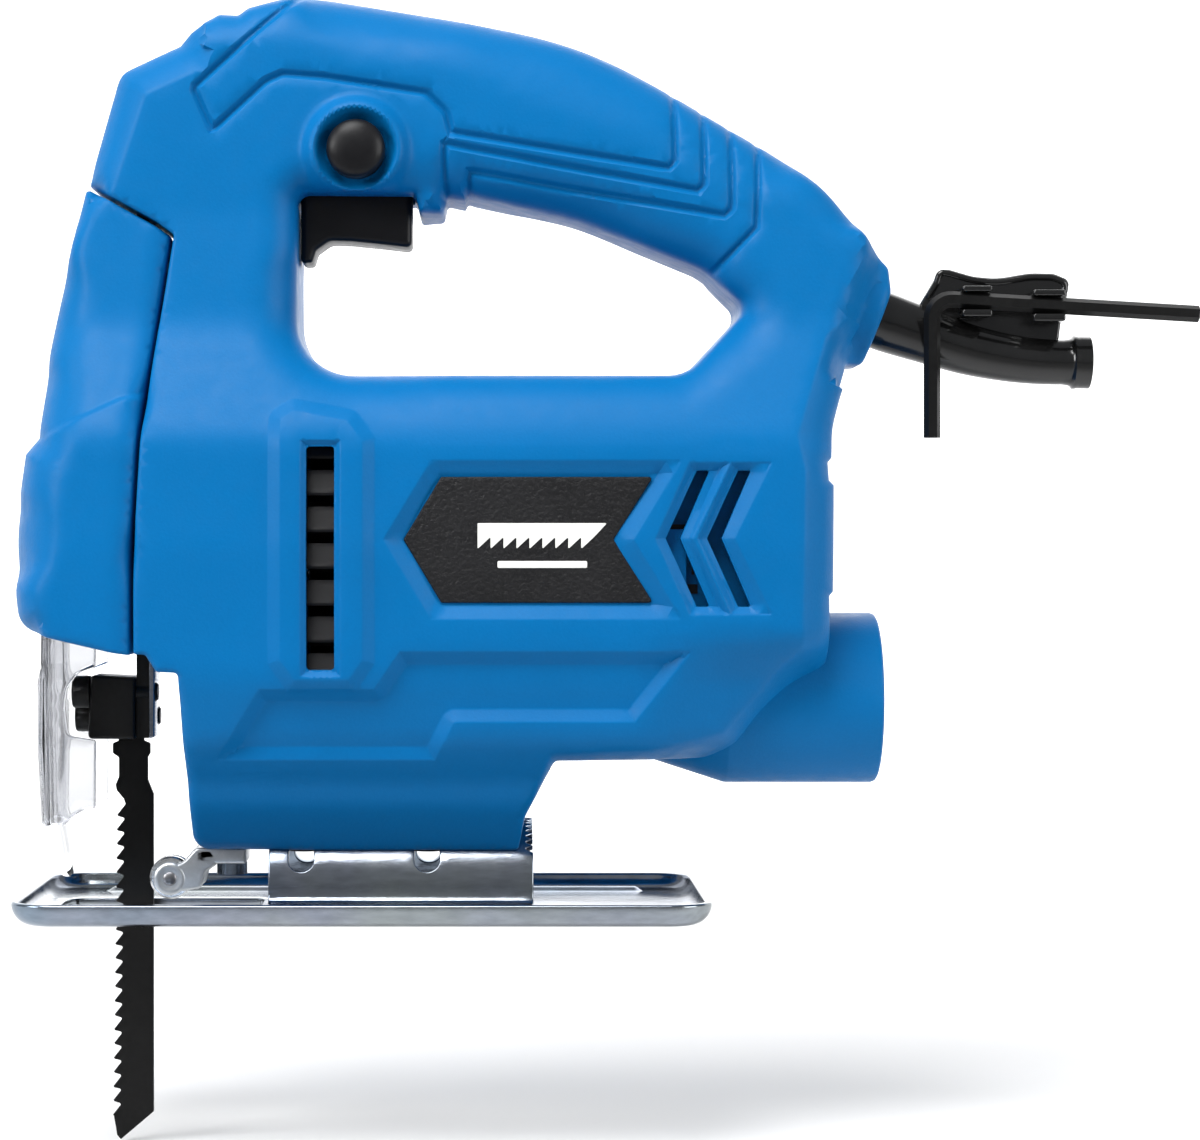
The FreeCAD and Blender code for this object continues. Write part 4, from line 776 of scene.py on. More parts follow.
FRAME_ROWS = lambda wide: (-0.25, 0.02, 0.3, wide - 0.3, wide, wide + 0.3)
GROOVE_ROWS = (-1.15, -0.8, -0.5, -0.25, 0.0, 0.25, 0.5, 0.8, 1.15)
body_creases = [
    (FAN_PANEL, True, FRAME_ROWS(2.6)), (FAN_FRAME, True, FRAME_ROWS(1.0)), (BADGE_FRAME[::-1], True, [-v for v in FRAME_ROWS(3.0)]),
    (BAND_OUTER, True, FRAME_ROWS(BAND_WIDE)), (REAR_LINE, False, (-0.5, 0, 0.5)), (FRONT_LINE, False, (-8.2, -7.6, -7.0))]
body_creases += [(line[::-1], True, [-v for v in FRAME_ROWS(1.4)]) for line in ARROW_FRAMES]
body_creases += [(line, False, GROOVE_ROWS) for line in GRIP_LINES]
circle = lambda r: [(-1.4 + r * math.cos(a), 157.8 + r * math.sin(a)) for a in np.linspace(0, 2 * math.pi, 61)]
button_creases = [(circle(r), False, (0,)) for r in (5.6, 6.1, 6.5, 6.9, 7.4, 7.9, 8.3, 8.7, 9.1, 9.5, 9.9, 10.5, 11.1, 11.7, 12.5, 13.6)]
body_holes = [FAN_SLOT] + ARROWS

left_half = wall_piece("body_left", [BODY_LOOP, OPENING_LOOP], body_holes, body_height, "body", -1, body_creases + button_creases)
WELL = 4.0
well_places = [(x, z) for x, z in SCREWS if (x, z) != (-33, 48.8)]
well_holes = [[(x + a * WELL, z + b * WELL, 0.999 * WELL) for a, b in ((-1, -1), (1, -1), (1, 1), (-1, 1))]
              for x, z in well_places]
right_half = wall_piece("body_right", [BODY_LOOP, OPENING_LOOP], body_holes + well_holes, body_height, "body", 1,
                        body_creases)
cover_creases = [(LEDGE_LINE, False, (-0.4, 0, 0.4, 0.8, 1.2, 1.6))]
cover_left = wall_piece("cover_left", [COVER_LOOP], [], cover_height, "cover", -1, cover_creases)
cover_right = wall_piece("cover_right", [COVER_LOOP], [], cover_height, "cover", 1, cover_creases)
for piece, stands_for in ((left_half, "housing_left"), (right_half, "housing_right"), (cover_left, "front_cover"), (cover_right, "front_cover")):
    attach(piece, "housing")
    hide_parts(stands_for)
    piece.data.materials.append(FINISH["blue_plastic"])

# %% [markdown]
# ## Turned, pressed and swept pieces
# Most of the other pieces are one of three kinds.  A turned piece is a profile carried round an
# axis.  A plate or block is an outline with eased edges, given a thickness.  A hose, a spring or
# a bent wire is a circle carried along a path.

# %% Shape builders
def grid_faces(rows, columns, wrap_rows=False, wrap_columns=True):
    """Quads over a grid of rows by columns, each row one turn round the shape."""
    r = np.arange(rows if wrap_rows else rows - 1)
    c = np.arange(columns if wrap_columns else columns - 1)
    r, c = np.meshgrid(r, c, indexing="ij")
    r2, c2 = (r + 1) % rows, (c + 1) % columns
    return np.stack([r * columns + c, r * columns + c2, r2 * columns + c2, r2 * columns + c], -1).reshape(-1, 4)


def lathe(profile, axis, centre, count=48, ring=False, sweep_angle=None):
    """A profile of (radius, distance along the axis) carried round the axis through centre."""
    profile = np.array(profile, float)
    whole = sweep_angle is None
    low, high = (0, 2 * math.pi) if whole else [math.radians(a) for a in sweep_angle]
    turn = np.linspace(low, high, count, endpoint=not whole)
    r, a = profile[:, 0:1], profile[:, 1:2]
    first, second, along = r * np.cos(turn), r * np.sin(turn), a + 0 * turn
    order = {"x": (along, first, second), "y": (first, along, second), "z": (first, second, along)}[axis]
    points = np.stack(order, -1).reshape(-1, 3) + np.array(centre, float)
    return points, [grid_faces(len(profile), count, ring, whole)]


def sweep(path, radii, up=(0, 1, 0), count=20, capped=True, ring=False, wide=1.0):
    """A circle of the given radii carried along a path, square to it.  up is a direction that the
    path never takes.  ring joins the last circle to the first; wide stretches it along up."""
    path = np.asarray(path, float)
    radii = np.broadcast_to(np.asarray(radii, float), len(path))
    if ring:
        along = np.roll(path, -1, 0) - np.roll(path, 1, 0)
    else:
        along = np.gradient(path, axis=0)
    along /= np.linalg.norm(along, axis=1)[:, None]
    side = np.cross(along, np.array(up, float))
    side /= np.linalg.norm(side, axis=1)[:, None]
    top = np.cross(side, along)
    turn = np.linspace(0, 2 * math.pi, count, endpoint=False)
    if capped and not ring:
        path = np.concatenate([path[:1], path, path[-1:]])
        side, top = (np.concatenate([v[:1], v, v[-1:]]) for v in (side, top))
        radii = np.concatenate([[0], radii, [0]])
    points = path[:, None] + radii[:, None, None] * (
        side[:, None] * np.cos(turn)[:, None] + wide * top[:, None] * np.sin(turn)[:, None])
    return points.reshape(-1, 3), [grid_faces(len(path), count, ring)]


def side_place(flat, y):
    return np.stack([flat[:, 0], y, flat[:, 1]], 1)


def prism(outline, low, high, ease=0.4, place=side_place, holes=(), pitch=4.0, step=1.0):
    """A plate or block: an outline (a, b, radius) between two heights, its edges rounded by ease."""
    loop = anticlockwise(rounded_loop(outline, step))
    cut = [anticlockwise(rounded_loop(hole, step)) for hole in holes]
    edge = lambda p: np.min([distance(p, line) for line in [loop] + cut], axis=0)
    within = lambda p: inside(p, loop) & ~(np.any([inside(p, line) for line in cut], axis=0) if cut else np.zeros(len(p), bool))
    rows = []
    for share in (0.1, 0.35, 0.7, 1.0):
        for line, sense in [(loop, 1)] + [(line, -1) for line in cut]:
            row = offset_line(line, sense * share * ease)
            rows.append(row[edge(row) > 0.9 * share * ease])
    rows = np.concatenate(rows)
    rows = rows[within(rows)]
    grid = hexagonal(loop.min(0), loop.max(0), pitch)
    grid = grid[within(grid)]
    grid = thin_out(grid[edge(grid) > ease + 0.3], np.concatenate([rows, loop]), 0.6) if len(grid) else grid
    flat, faces = triangulate(np.concatenate([rows, grid]), [loop] + cut, within)
    d = np.clip(ease - edge(flat), 0, ease)
    drop = ease - np.sqrt(ease ** 2 - d ** 2)
    count = len(flat)
    points = np.concatenate([place(flat, high - drop), place(flat, low + drop)])
    quads = []
    for line in [loop] + cut:
        index = match(flat, line)
        quads.append(np.stack([index, np.roll(index, -1), np.roll(index, -1) + count, index + count], 1))
    return points, [np.concatenate([faces, faces[:, ::-1] + count]), np.concatenate(quads)]


def mirrored(part):
    """The same part on the other side of the middle plane."""
    points, faces = part
    return points * (1, -1, 1), [f[:, ::-1] for f in faces]


def circle_loop(x, z, radius, count=32):
    turn = np.linspace(0, 2 * math.pi, count, endpoint=False)
    return [(x + radius * math.cos(t), z + radius * math.sin(t)) for t in turn]


def hexagon(x, z, flats, turned=0.0):
    return [(x + flats / math.sqrt(3) * math.cos(math.radians(60 * i + turned)),
             z + flats / math.sqrt(3) * math.sin(math.radians(60 * i + turned)), 0.05) for i in range(6)]


# %% [markdown]
# ## Dust port
# The port is a plain round tube that leaves the rear of the body.  The mould splits it on the middle
# plane like the rest, so each half is a half turn of one closed profile.

# %% Dust port
port_profile = [(11.4, -51.5), (17.75, -31.9), (17.8, -31.4), (17.8, -1.0), (17.55, -0.35), (17.0, 0), (15.6, 0), (15.15, -0.35),
                (15.0, -1.0), (15.0, -32.4), (9.4, -51.5)]
for name, angles, stands_for in (("port_left", (-180, 0), "housing_left"), ("port_right", (0, 180), "housing_right")):
    points, faces = lathe(port_profile, "x", (106.9, 0, 44.9), 49, True, [a + 0 for a in angles])
    points = points[:, [0, 1, 2]]
    quarter = points - (106.9, 0, 44.9)
    points = np.stack([quarter[:, 0], quarter[:, 2], quarter[:, 1]], 1) + (106.9, 0, 44.9)
    ends = np.arange(len(port_profile))
    caps = np.stack([ends * 49, ends * 49 + 48])
    build(name, [(points, faces + [caps])], "housing", [stands_for], "blue_plastic", 30)

# %% [markdown]
# ## Badge plates
# A thin pressed plate with a leather grain fills the recess on each side.  It carries no name here:
# a plain saw-tooth mark stands in its place.

# %% Badge plates
MARK_TEETH = 9
mark = [(23.5, 81.2)] + [p for i in range(MARK_TEETH) for p in ((23.5 + 2.6 * i, 76.0), (26.1 + 2.6 * i, 78.4))] + [(49.5, 81.2)]
mark = [(x, z, 0.15) for x, z in mark]
bar = [(27.5, 72.2, .3), (45.5, 72.2, .3), (45.5, 73.6, .3), (27.5, 73.6, .3)]
plate_outline = [(x, z, 0.5) for x, z in PLATE]
plate_part = prism(plate_outline, 28.8, 30.0, 0.35, pitch=3.0)
mark_parts = [prism(mark, 29.9, 30.12, 0.05), prism(bar, 29.9, 30.12, 0.05)]
for name, stands_for, turn in (("badge_plate_left", "badge_left", mirrored), ("badge_plate_right", "badge_right", lambda p: p)):
    build(name, [turn(plate_part)], "housing", [stands_for], "badge_black")
    build(name.replace("plate", "mark"), [turn(p) for p in mark_parts], "housing", [stands_for], "white_plastic")

# %% [markdown]
# ## Lock button and trigger
# The button is a shallow black dome.  The trigger is a block with a hooked front edge for the finger.

# %% Lock button and trigger
low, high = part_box("lock_button")
button_top = low.y / MM
button_profile = [(0, 0), (1.5, 0.05), (3.0, 0.25), (4.3, 0.62), (5.3, 1.15), (5.85, 1.8), (6.0, 2.5), (6.0, 5.2), (5.25, 5.4), (5.25, 8.3), (6.9, 8.3), (6.9, 10.2),
                  (2.2, 10.2), (2.2, 12.4), (0, 12.4)]
build("button", [lathe(button_profile, "y", (-1.4, button_top, 157.8), 64)], "lock_knob", ["lock_button"], "black_plastic", 40)

trigger_outline = [(-13.4, 152, .3), (-13.4, 135.7, 1.0), (-11.0, 135.8, .8), (-10.2, 138.4, 1.2), (-7.4, 140.4, 2.4), (-3.0, 140.3, 8),
                   (4.0, 139.6, 20), (9.8, 138.9, 1.2), (9.8, 152, .3)]
build("trigger_block", [prism(trigger_outline, -6.4, 6.4, 1.3, pitch=3), prism([(-3, 150, .3), (3, 150, .3), (3, 163, .3), (-3, 163, .3)], -3, 3, 0.3)],
      "trigger_lever", ["trigger"], "black_plastic")

# %% [markdown]
# ## Cable sleeve
# The rubber sleeve stops the cable from kinking.  It tapers from the body to a flared mouth, and a
# web along its top carries two clips for the hex key.

# %% Cable sleeve
def smooth_path(corners, count):
    """A quadratic B-spline through the middles of a row of points, sampled evenly."""
    corners = np.array(corners, float)
    corners = np.concatenate([[2 * corners[0] - corners[1]], corners, [2 * corners[-1] - corners[-2]]])
    t = np.linspace(0, len(corners) - 2 - 1e-6, count)
    i, u = t.astype(int), (t % 1)[:, None]
    a, b, c = corners[i], corners[i + 1], corners[i + 2]
    return 0.5 * ((1 - u) ** 2 * a + (1 + 2 * u - 2 * u * u) * b + u * u * c)


sleeve_line = smooth_path([(98, 0, 127.7), (105, 0, 125.4), (112, 0, 122.9), (119, 0, 120.6), (126, 0, 118.2), (132, 0, 116.9), (138, 0, 115.9), (143.5, 0, 115.5), (149.2, 0, 115.4)], 120)
x = sleeve_line[:, 0]
outer_radius = np.interp(x, [98, 110, 118, 128, 139, 146.5, 148.1, 148.5, 148.9, 149.2],
                         [6.3, 6.2, 5.8, 5.3, 4.9, 4.75, 4.95, 5.6, 5.7, 5.5])
inner_radius = np.interp(x, [98, 147, 149.2], [3.6, 3.6, 4.2])
outside, outside_faces = sweep(sleeve_line, outer_radius, count=40, capped=False)
hollow, _ = sweep(sleeve_line[::-1], inner_radius[::-1], up=(0, -1, 0), count=40, capped=False)
both = np.concatenate([outside.reshape(-1, 40, 3), hollow.reshape(-1, 40, 3)[:, ::1]])
sleeve_part = (both.reshape(-1, 3), [grid_faces(len(both), 40, True)])
web_outline = [(114.5, 121.6, .5), (116.4, 127.6, 3), (119.3, 132.6, 2), (120.4, 134.8, 1.2), (122.4, 134.9, 2), (127.5, 133.4, 12), (132.5, 132.9, 16), (139.5, 134.1, 12),
               (144.5, 134.0, 3), (147.9, 132.6, 1.6), (147.2, 128.5, 3), (146.0, 123.5, 3), (145.6, 120.4, 1.5), (144.4, 117, .5), (126, 119, .5)]
web_part = prism(web_outline, -1.5, 1.5, 0.6, pitch=3)
rim_outline = [(116.9, 127.0, 2), (119.9, 132.0, 2), (120.6, 134.2, 1), (122.4, 134.0, 2), (127.5, 132.5, 12), (132.5, 132.0, 16), (139.5, 133.2, 12), (144.3, 133.1, 3), (147.0, 132.0, 1.4), (146.5, 129.0, 3)]
rim_path = rounded_loop(rim_outline, 0.8)
rim_path = rim_path[(rim_path[:, 1] > 128.2) & (rim_path[:, 0] < 147.2)]
first = np.argmin(rim_path[:, 0])
rim_path = np.roll(rim_path, -first, 0)
if rim_path[1, 1] < rim_path[0, 1]:
    rim_path = np.roll(rim_path[::-1], 1, 0)
rim_part = sweep(side_place(rim_path, np.full(len(rim_path), -1.2)), 0.75, up=(0, 1, 0), count=10)
slope = math.tan(math.radians(-3.4))
clip_parts = []
for x0, x1, up_by, down_by in ((124.0, 130.2, 3.0, 3.3), (138.7, 145.4, 3.1, 3.4)):
    middle_z = 128.2 + ((x0 + x1) / 2 - 117.9) * slope
    for z0, z1 in ((middle_z - down_by, middle_z - 1.85), (middle_z + 1.85, middle_z + up_by)):
        shape = [(x0, z0, .5), (x1, z0, .5), (x1, z1, .5), (x0, z1, .5)]
        clip_parts.append(prism(shape, -10.1, -1.0, 0.4, pitch=3))
    clip_parts.append(prism([(x0, middle_z - 2.6, .4), (x1, middle_z - 2.6, .4), (x1, middle_z + 2.6, .4), (x0, middle_z + 2.6, .4)], -6.2, -1.0, 0.3, pitch=3))
flange = lathe([(3.6, 0), (8.4, 0), (8.5, .2), (8.5, 2.6), (8.2, 3.0), (3.6, 3.0)], "x", (0, 0, 0), 40, True)
tilt = math.atan2(0.3155, 0.9489)
fp = flange[0]
fp = np.stack([fp[:, 0] * math.cos(tilt) + fp[:, 2] * math.sin(tilt), fp[:, 1], -fp[:, 0] * math.sin(tilt) + fp[:, 2] * math.cos(tilt)], 1) + (99.9, 0, 127.1)
build("sleeve", [sleeve_part, web_part, rim_part, (fp, flange[1])] + clip_parts, "housing", ["cable_guard"], "black_rubber", 40)

# %% [markdown]
# ## Sole plate
# The sole is a tray pressed from zinc-plated sheet: a flat floor, a rim bent up in a quarter round,
# two long beads that stiffen it, a slot for the blade and two holes for the hex key.  Both faces
# follow the distance to the edge, so the sheet keeps its thickness round the bend.

# %% Sole plate
SHEET = 1.5
BEND = 4.3
low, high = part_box("base_plate")
half_long, half_wide = high.x / MM, high.y / MM
tray_loop = rounded_loop([(x, y, 9) for x, y in ((-half_long, -half_wide), (half_long, -half_wide), (half_long, half_wide), (-half_long, half_wide))], 1.5, 0.6)
slot_loop = rounded_loop([(-64, -10, 4), (-22, -10, 2), (-22, 10, 2), (-64, 10, 4)], 1.2, 0.5)
key_holes = [np.array(circle_loop(x, 0, 6.0, 40)) for x in (-13.0, 13.0)]
BEADS = [(-58.0, 60.0, y, 2.6, 1.1) for y in (-24.7, 24.7)]


def bead(p, x0, x1, y, half_width, rise):
    """A pressed bead: a half cosine across, with round ends."""
    along = np.clip(p[:, 0], x0 + half_width, x1 - half_width)
    away = np.hypot(p[:, 0] - along, p[:, 1] - y)
    return rise * 0.5 * (1 + np.cos(np.pi * np.clip(away / half_width, 0, 1)))


def tray_faces(p):
    """Underside and top of the sheet: z = B - sqrt(r^2 - (B - d)^2) for the distance d to the edge,
    with r = B below and r = B - sheet above."""
    d = distance(p, tray_loop)
    across = np.clip(BEND - d, 0, BEND)
    under = BEND - np.sqrt(BEND ** 2 - across ** 2)
    inner = BEND - SHEET
    over = BEND - np.sqrt(np.clip(inner ** 2 - across ** 2, 0, None))
    lip = BEND + 0.5 * np.sqrt(np.clip(1 - ((d - SHEET / 2) / (SHEET / 2)) ** 2, 0, 1))
    over = np.where(d < SHEET, lip, over)
    rise = sum(bead(p, *b) for b in BEADS)
    rounding = 0.35 - np.sqrt(np.clip(0.35 ** 2 - np.clip(0.35 - hole_distance(p), 0, 0.35) ** 2, 0, None))
    return under + rise + rounding, over + rise - rounding


def hole_distance(p):
    return np.min([distance(p, line) for line in [slot_loop] + key_holes], axis=0)


cut_lines = [anticlockwise(line) for line in [slot_loop] + key_holes]
tray_loop = anticlockwise(tray_loop)
within_tray = lambda p: inside(p, tray_loop) & ~np.any([inside(p, line) for line in cut_lines], axis=0)
rows = [offset_line(tray_loop, d) for d in (0.04, 0.15, 0.35, 0.75, 1.15, 1.35, 1.46, 1.52, 1.65, 1.95, 2.4, 3.0, 3.6, 4.3)]
rows += [offset_line(line, -d) for line in cut_lines for d in (0.05, 0.15, 0.35)]
for x0, x1, y, half_width, rise in BEADS:
    for w in (0.4, 1.0, 1.7, 2.3, 2.6):
        rows.append(rounded_loop([(x0 + 2.6 - w, y - w, w * .98), (x1 - 2.6 + w, y - w, w * .98), (x1 - 2.6 + w, y + w, w * .98), (x0 + 2.6 - w, y + w, w * .98)], 1.6, 0.5))
rows = np.concatenate(rows)
rows = rows[within_tray(rows)]
grid = hexagonal(tray_loop.min(0), tray_loop.max(0), 2.2)
grid = grid[within_tray(grid)]
grid = thin_out(grid, np.concatenate([rows, tray_loop] + cut_lines), 0.7)
flat, faces = triangulate(np.concatenate([rows, grid]), [tray_loop] + cut_lines, within_tray)
under, over = tray_faces(flat)
count = len(flat)
points = np.concatenate([np.column_stack([flat, over]), np.column_stack([flat, under])])
walls = []
for line in [tray_loop] + cut_lines:
    index = match(flat, line)
    walls.append(np.stack([index, np.roll(index, -1), np.roll(index, -1) + count, index + count], 1))
build("sole_tray", [(points, [np.concatenate([faces, faces[:, ::-1] + count]), np.concatenate(walls)])],
      "sole", ["base_plate"], "zinc_steel", 50)

# %% [markdown]
# ## Saddle
# The saddle is a strip bent over a former: two flanges on the sole, two short walls and a round
# back that the body tilts on.  It is drawn flat, with its two slots and its toothed rear edge, and
# then bent along its section.

# %% Saddle
def bent_place(section, x_first=True):
    """Returns a place() for prism: the second flat coordinate runs along the bent section and the
    height is measured outward from it."""
    section = np.array(section)
    steps = np.r_[0, np.cumsum(np.linalg.norm(np.diff(section, axis=0), axis=1))]
    along = np.gradient(section, axis=0)
    along /= np.linalg.norm(along, axis=1)[:, None]
    out = np.stack([-along[:, 1], along[:, 0]], 1)

    def place(flat, height):
        y, z = (np.interp(flat[:, 1], steps, section[:, i]) for i in (0, 1))
        ny, nz = (np.interp(flat[:, 1], steps, out[:, i]) for i in (0, 1))
        return np.stack([flat[:, 0], y + ny * height, z + nz * height], 1)
    return place, steps


ARCH = 13.6
foot = [(-20.6, 1.5 + SHEET), (-15.4, 1.5 + SHEET)]
bend = [(-15.4 + 1.8 * math.sin(a), 1.5 + SHEET + 1.8 - 1.8 * math.cos(a)) for a in np.linspace(0.1, math.pi / 2, 8)]
back = [(-ARCH * math.cos(a), 6.0 + ARCH * math.sin(a)) for a in np.linspace(0, math.pi / 2, 40)]
left = foot + bend + back
section = resample(np.array(left + [(-y, z) for y, z in left[-2::-1]]), 0.5)
place, steps = bent_place(section)
length = steps[-1]
slot_end = np.interp(12.1 - 2.6, section[: len(section) // 2, 1], steps[: len(section) // 2])
slots = [[(x - 2.6, slot_end, 2.55), (x + 2.6, slot_end, 2.55), (x + 2.6, length - slot_end, 2.55), (x - 2.6, length - slot_end, 2.55)]
         for x in (-13.0, 13.0)]
tooth_rows = np.arange(17.0, length - 17.0, 1.7)
teeth = [p for s0 in tooth_rows for p in ((35.0, s0, 0.1), (33.4, s0 + 0.85, 0.1))]
strip = [(-19.7, 0, .5), (35.0, 0, .5)] + teeth + [(35.0, length, .5), (-19.7, length, .5)]
saddle = prism(strip, -1.8, 0.0, 0.3, place, slots, pitch=1.6)
notch_place = lambda flat, height: place(flat, height)
build("saddle_sheet", [saddle], "sole", ["base_saddle"], "zinc_steel", 50)

# %% Tilt screws
socket_head = [(0, 13.4), (1.3, 13.4), (1.55, 12.7), (3.2, 12.7), (3.8, 13.0), (4.0, 14.0), (2.4, 14.0), (2.4, 28.0), (0, 28.0)]
build("tilt_heads", [lathe(socket_head, "z", (x, 0, 0), 32) for x in (-13.0, 13.0)], "housing", ["tilt_screws"], "black_steel")

# %% [markdown]
# ## Guide roller and its fork
# A grooved steel roller backs the blade.  It turns on a pin between two cheeks of a small zinc
# casting, which is screwed into the body.

# %% Roller, fork and pin
ROLLER = (-40.8, 0, 7.2)
groove = [(1.6, -2.8), (4.1, -2.8), (4.5, -2.4), (4.5, -1.2), (3.75, -0.9), (3.75, 0.9), (4.5, 1.2), (4.5, 2.4), (4.1, 2.8), (1.6, 2.8)]
build("roller_wheel", [lathe(groove, "y", ROLLER, 56, True)], "roller", ["guide_roller"], "bright_steel", 30)
pin = [(0, -5.75), (1.1, -5.7), (1.45, -5.45), (1.5, -5.1), (1.5, 5.1), (1.45, 5.45), (1.1, 5.7), (0, 5.75)]
build("pin", [lathe(pin, "y", ROLLER, 32)], "housing", ["roller_pin"], "dark_steel")
arm = [(-43.0, 5.1, 1.4), (-38.2, 4.6, 2), (-34.3, 5.2, 1.2), (-33.3, 8.6, 1.6), (-31.0, 10.2, 1.0), (-31.0, 13.6, .5), (-35.6, 13.6, .8), (-38.2, 10.6, 3), (-43.0, 9.6, 1.2)]
arm_part = prism(arm, 3.1, 5.4, 0.7, pitch=1.6)
cheek = lathe([(1.5, 3.1), (3.35, 3.1), (3.4, 3.3), (3.4, 5.2), (3.0, 5.55), (2.4, 5.6), (2.2, 5.5), (1.5, 5.5)], "y", ROLLER, 40, True)
top_block = prism([(-35.6, 10.4, .6), (-24.9, 10.4, .5), (-24.9, 13.75, .5), (-35.6, 13.75, .8)], -5.4, 5.4, 0.6, pitch=1.6, holes=())
build("fork", [arm_part, mirrored(arm_part), cheek, mirrored(cheek), top_block], "housing", ["roller_fork"], "cast_zinc", 40)

# %% [markdown]
# ## Blade clamp
# The block grips the blade's shank against the plunger bar.  Two cap screws pull it in from the
# front, through the bar, into a plated nut plate behind it.

# %% Blade clamp
block_outline = [(-57.3, 49.8, .9), (-47.9, 49.3, .5), (-47.9, 36.4, .4), (-57.8, 36.5, .9)]
build("clamp_block", [prism(block_outline, -6.5, 6.5, 0.7, pitch=2)], "plunger_rod", ["blade_clamp"], "black_steel")
screw_parts = []
for z, y, head_x in ((46.2, -3.4, -57.6), (40.9, 3.4, -57.8)):
    head = [(0, 2.6), (1.45, 2.6), (1.7, 0.1), (2.5, 0), (3.1, 0.1), (3.4, 0.5), (3.4, 3.7), (2.0, 3.75), (2.0, 17.4), (1.6, 17.9), (0, 17.9)]
    screw_parts.append(lathe([(r, head_x - 3.7 + a) for r, a in head], "x", (0, y, z), 36))
build("cap_screws", screw_parts, "plunger_rod", ["clamp_screws"], "black_steel", 40)
nut_plate = [(-45.15, 36.5, .3), (-44.0, 36.8, .4), (-43.95, 51.2, 1.0), (-44.9, 53.4, .4), (-45.15, 53.4, .1)]
build("nut_plate", [prism(nut_plate, -5.5, 5.5, 0.3, pitch=2)], "plunger_rod", ["blade_clamp"], "zinc_steel")

# %% [markdown]
# ## Blade
# The blade is stamped from sheet steel and blackened.  Its shank has two lugs, its teeth are milled
# on the front edge, and every second tooth is bent a little to the other side to widen the cut.

# %% Blade
PITCH = 3.0
TOOTH_SET = 0.32
low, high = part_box("blade")
tip, top = low.z / MM, high.z / MM
back_edge = high.x / MM
outline = [(-50.9, top, .1), (-52.1, top - 1.2, .2), (-52.1, 35.8, .2), (-53.3, 35.3, .5), (-53.3, 33.2, .5), (-52.0, 32.3, .4),
           (-52.0, 28.2, 1.5), (-52.7, 26.6, .5), (-52.5, 25.4, .3), (-51.0, 23.6, .3)]
for i in range(int((22.9 - tip - 3.5) / PITCH)):
    z = 22.9 - i * PITCH
    lean = 0.9 * (22.9 - z) / 70
    outline += [(-50.6 - lean, z - 0.4, .35), (-52.4 - lean, z - PITCH + 0.3, .05), (-52.2 - lean, z - PITCH, .05)]
outline += [(-52.4, tip + 1.0, .3), (-51.6, tip + .05, .2), (back_edge, tip + 5.9, .2), (back_edge, 24.6, .5), (-45.9, 27.6, 1.2),
            (-45.9, 32.4, .5), (-45.4, 33.2, .5), (-45.4, 35.3, .5), (-46.7, 35.8, .2), (-46.7, top - 1.2, .2), (-47.9, top, .1)]


def set_place(flat, y):
    """Bends the teeth: the wave's length is two pitches and it grows from the root to the point."""
    lean = 0.9 * (22.9 - flat[:, 1]) / 70
    out = np.clip((-51.2 - lean - flat[:, 0]) / 1.2, 0, 1) * (flat[:, 1] < 22.0)
    wave = np.sin(np.pi * (22.9 - flat[:, 1] - PITCH / 2 - 0.4) / PITCH)
    return np.stack([flat[:, 0], y + TOOTH_SET * out * wave, flat[:, 1]], 1)


build("saw_blade", [prism(outline, -0.65, 0.65, 0.12, set_place, pitch=2.2, step=0.6)], "plunger_rod", ["blade"], "blade_black", 30)

# %% [markdown]
# ## Guard
# The guard is moulded in clear polycarbonate.  A thick front wall runs down to a pointed finger, and
# two thin wings shield the blade from the sides.

# %% Guard
front_wall = [
    (-67.0, 68, .4), (-67.2, 52, 1), (-68.1, 48.5, 1), (-68.0, 36, 30), (-67.3, 18.2, 3), (-66.9, 13.6, 4), (-65.6, 9.9, 3),
    (-63.6, 7.4, 1.6), (-61.8, 7.2, 1.0), (-61.6, 9.6, .8), (-61.9, 12.6, 2), (-62.4, 15.5, 3), (-62.9, 18.4, 1.0),
    (-62.6, 30, 8), (-62.6, 68, .4)]
wing = [
    (-66.8, 68, .4), (-67.2, 36, 5), (-66.4, 19.0, 1.2), (-61.8, 18.8, 2.0), (-60.4, 20.6, 3), (-58.4, 22.0, 3),
    (-55.6, 22.4, .7), (-55.5, 36.5, .7), (-61.2, 37.4, 1.5), (-61.9, 43.5, 4), (-61.4, 47.4, 3), (-59.0, 50.6, 3),
    (-55.6, 51.8, .5), (-55.5, 60, .5), (-60.2, 60, .5), (-60.2, 68, .4)]
finger = prism(front_wall, -3.4, 3.4, 1.7, pitch=2.2)
wide_wall = [
    (-66.8, 68, .4), (-67.0, 52, 1), (-67.8, 48.5, 1), (-67.7, 34, 30), (-66.9, 18.8, 1.2), (-65.2, 18.4, .8), (-64.9, 20, 1),
    (-65.4, 48, 4), (-65.2, 68, .4)]
wall_part = prism(wide_wall, -11.0, 11.0, 1.0, pitch=2.6)
wing_part = prism(wing, 9.6, 11.4, 0.7, pitch=2.2)
build("shield", [finger, wall_part, wing_part, mirrored(wing_part)], "guard", ["blade_guard"], "clear_plastic", 40)

# %% [markdown]
# ## Vents, wells and the key
# Behind each side slot lies a dark strip of slats.  A dark blue baffle behind the arrow slots hides
# the motor.  The two halves are held by countersunk screws in deep wells on the right side.

# %% Vents and baffles
def plain_box(x0, x1, y0, y1, z0, z1, ease=0.15):
    return prism([(x0, z0, ease), (x1, z0, ease), (x1, z1, ease), (x0, z1, ease)], y0, y1, ease, pitch=6)


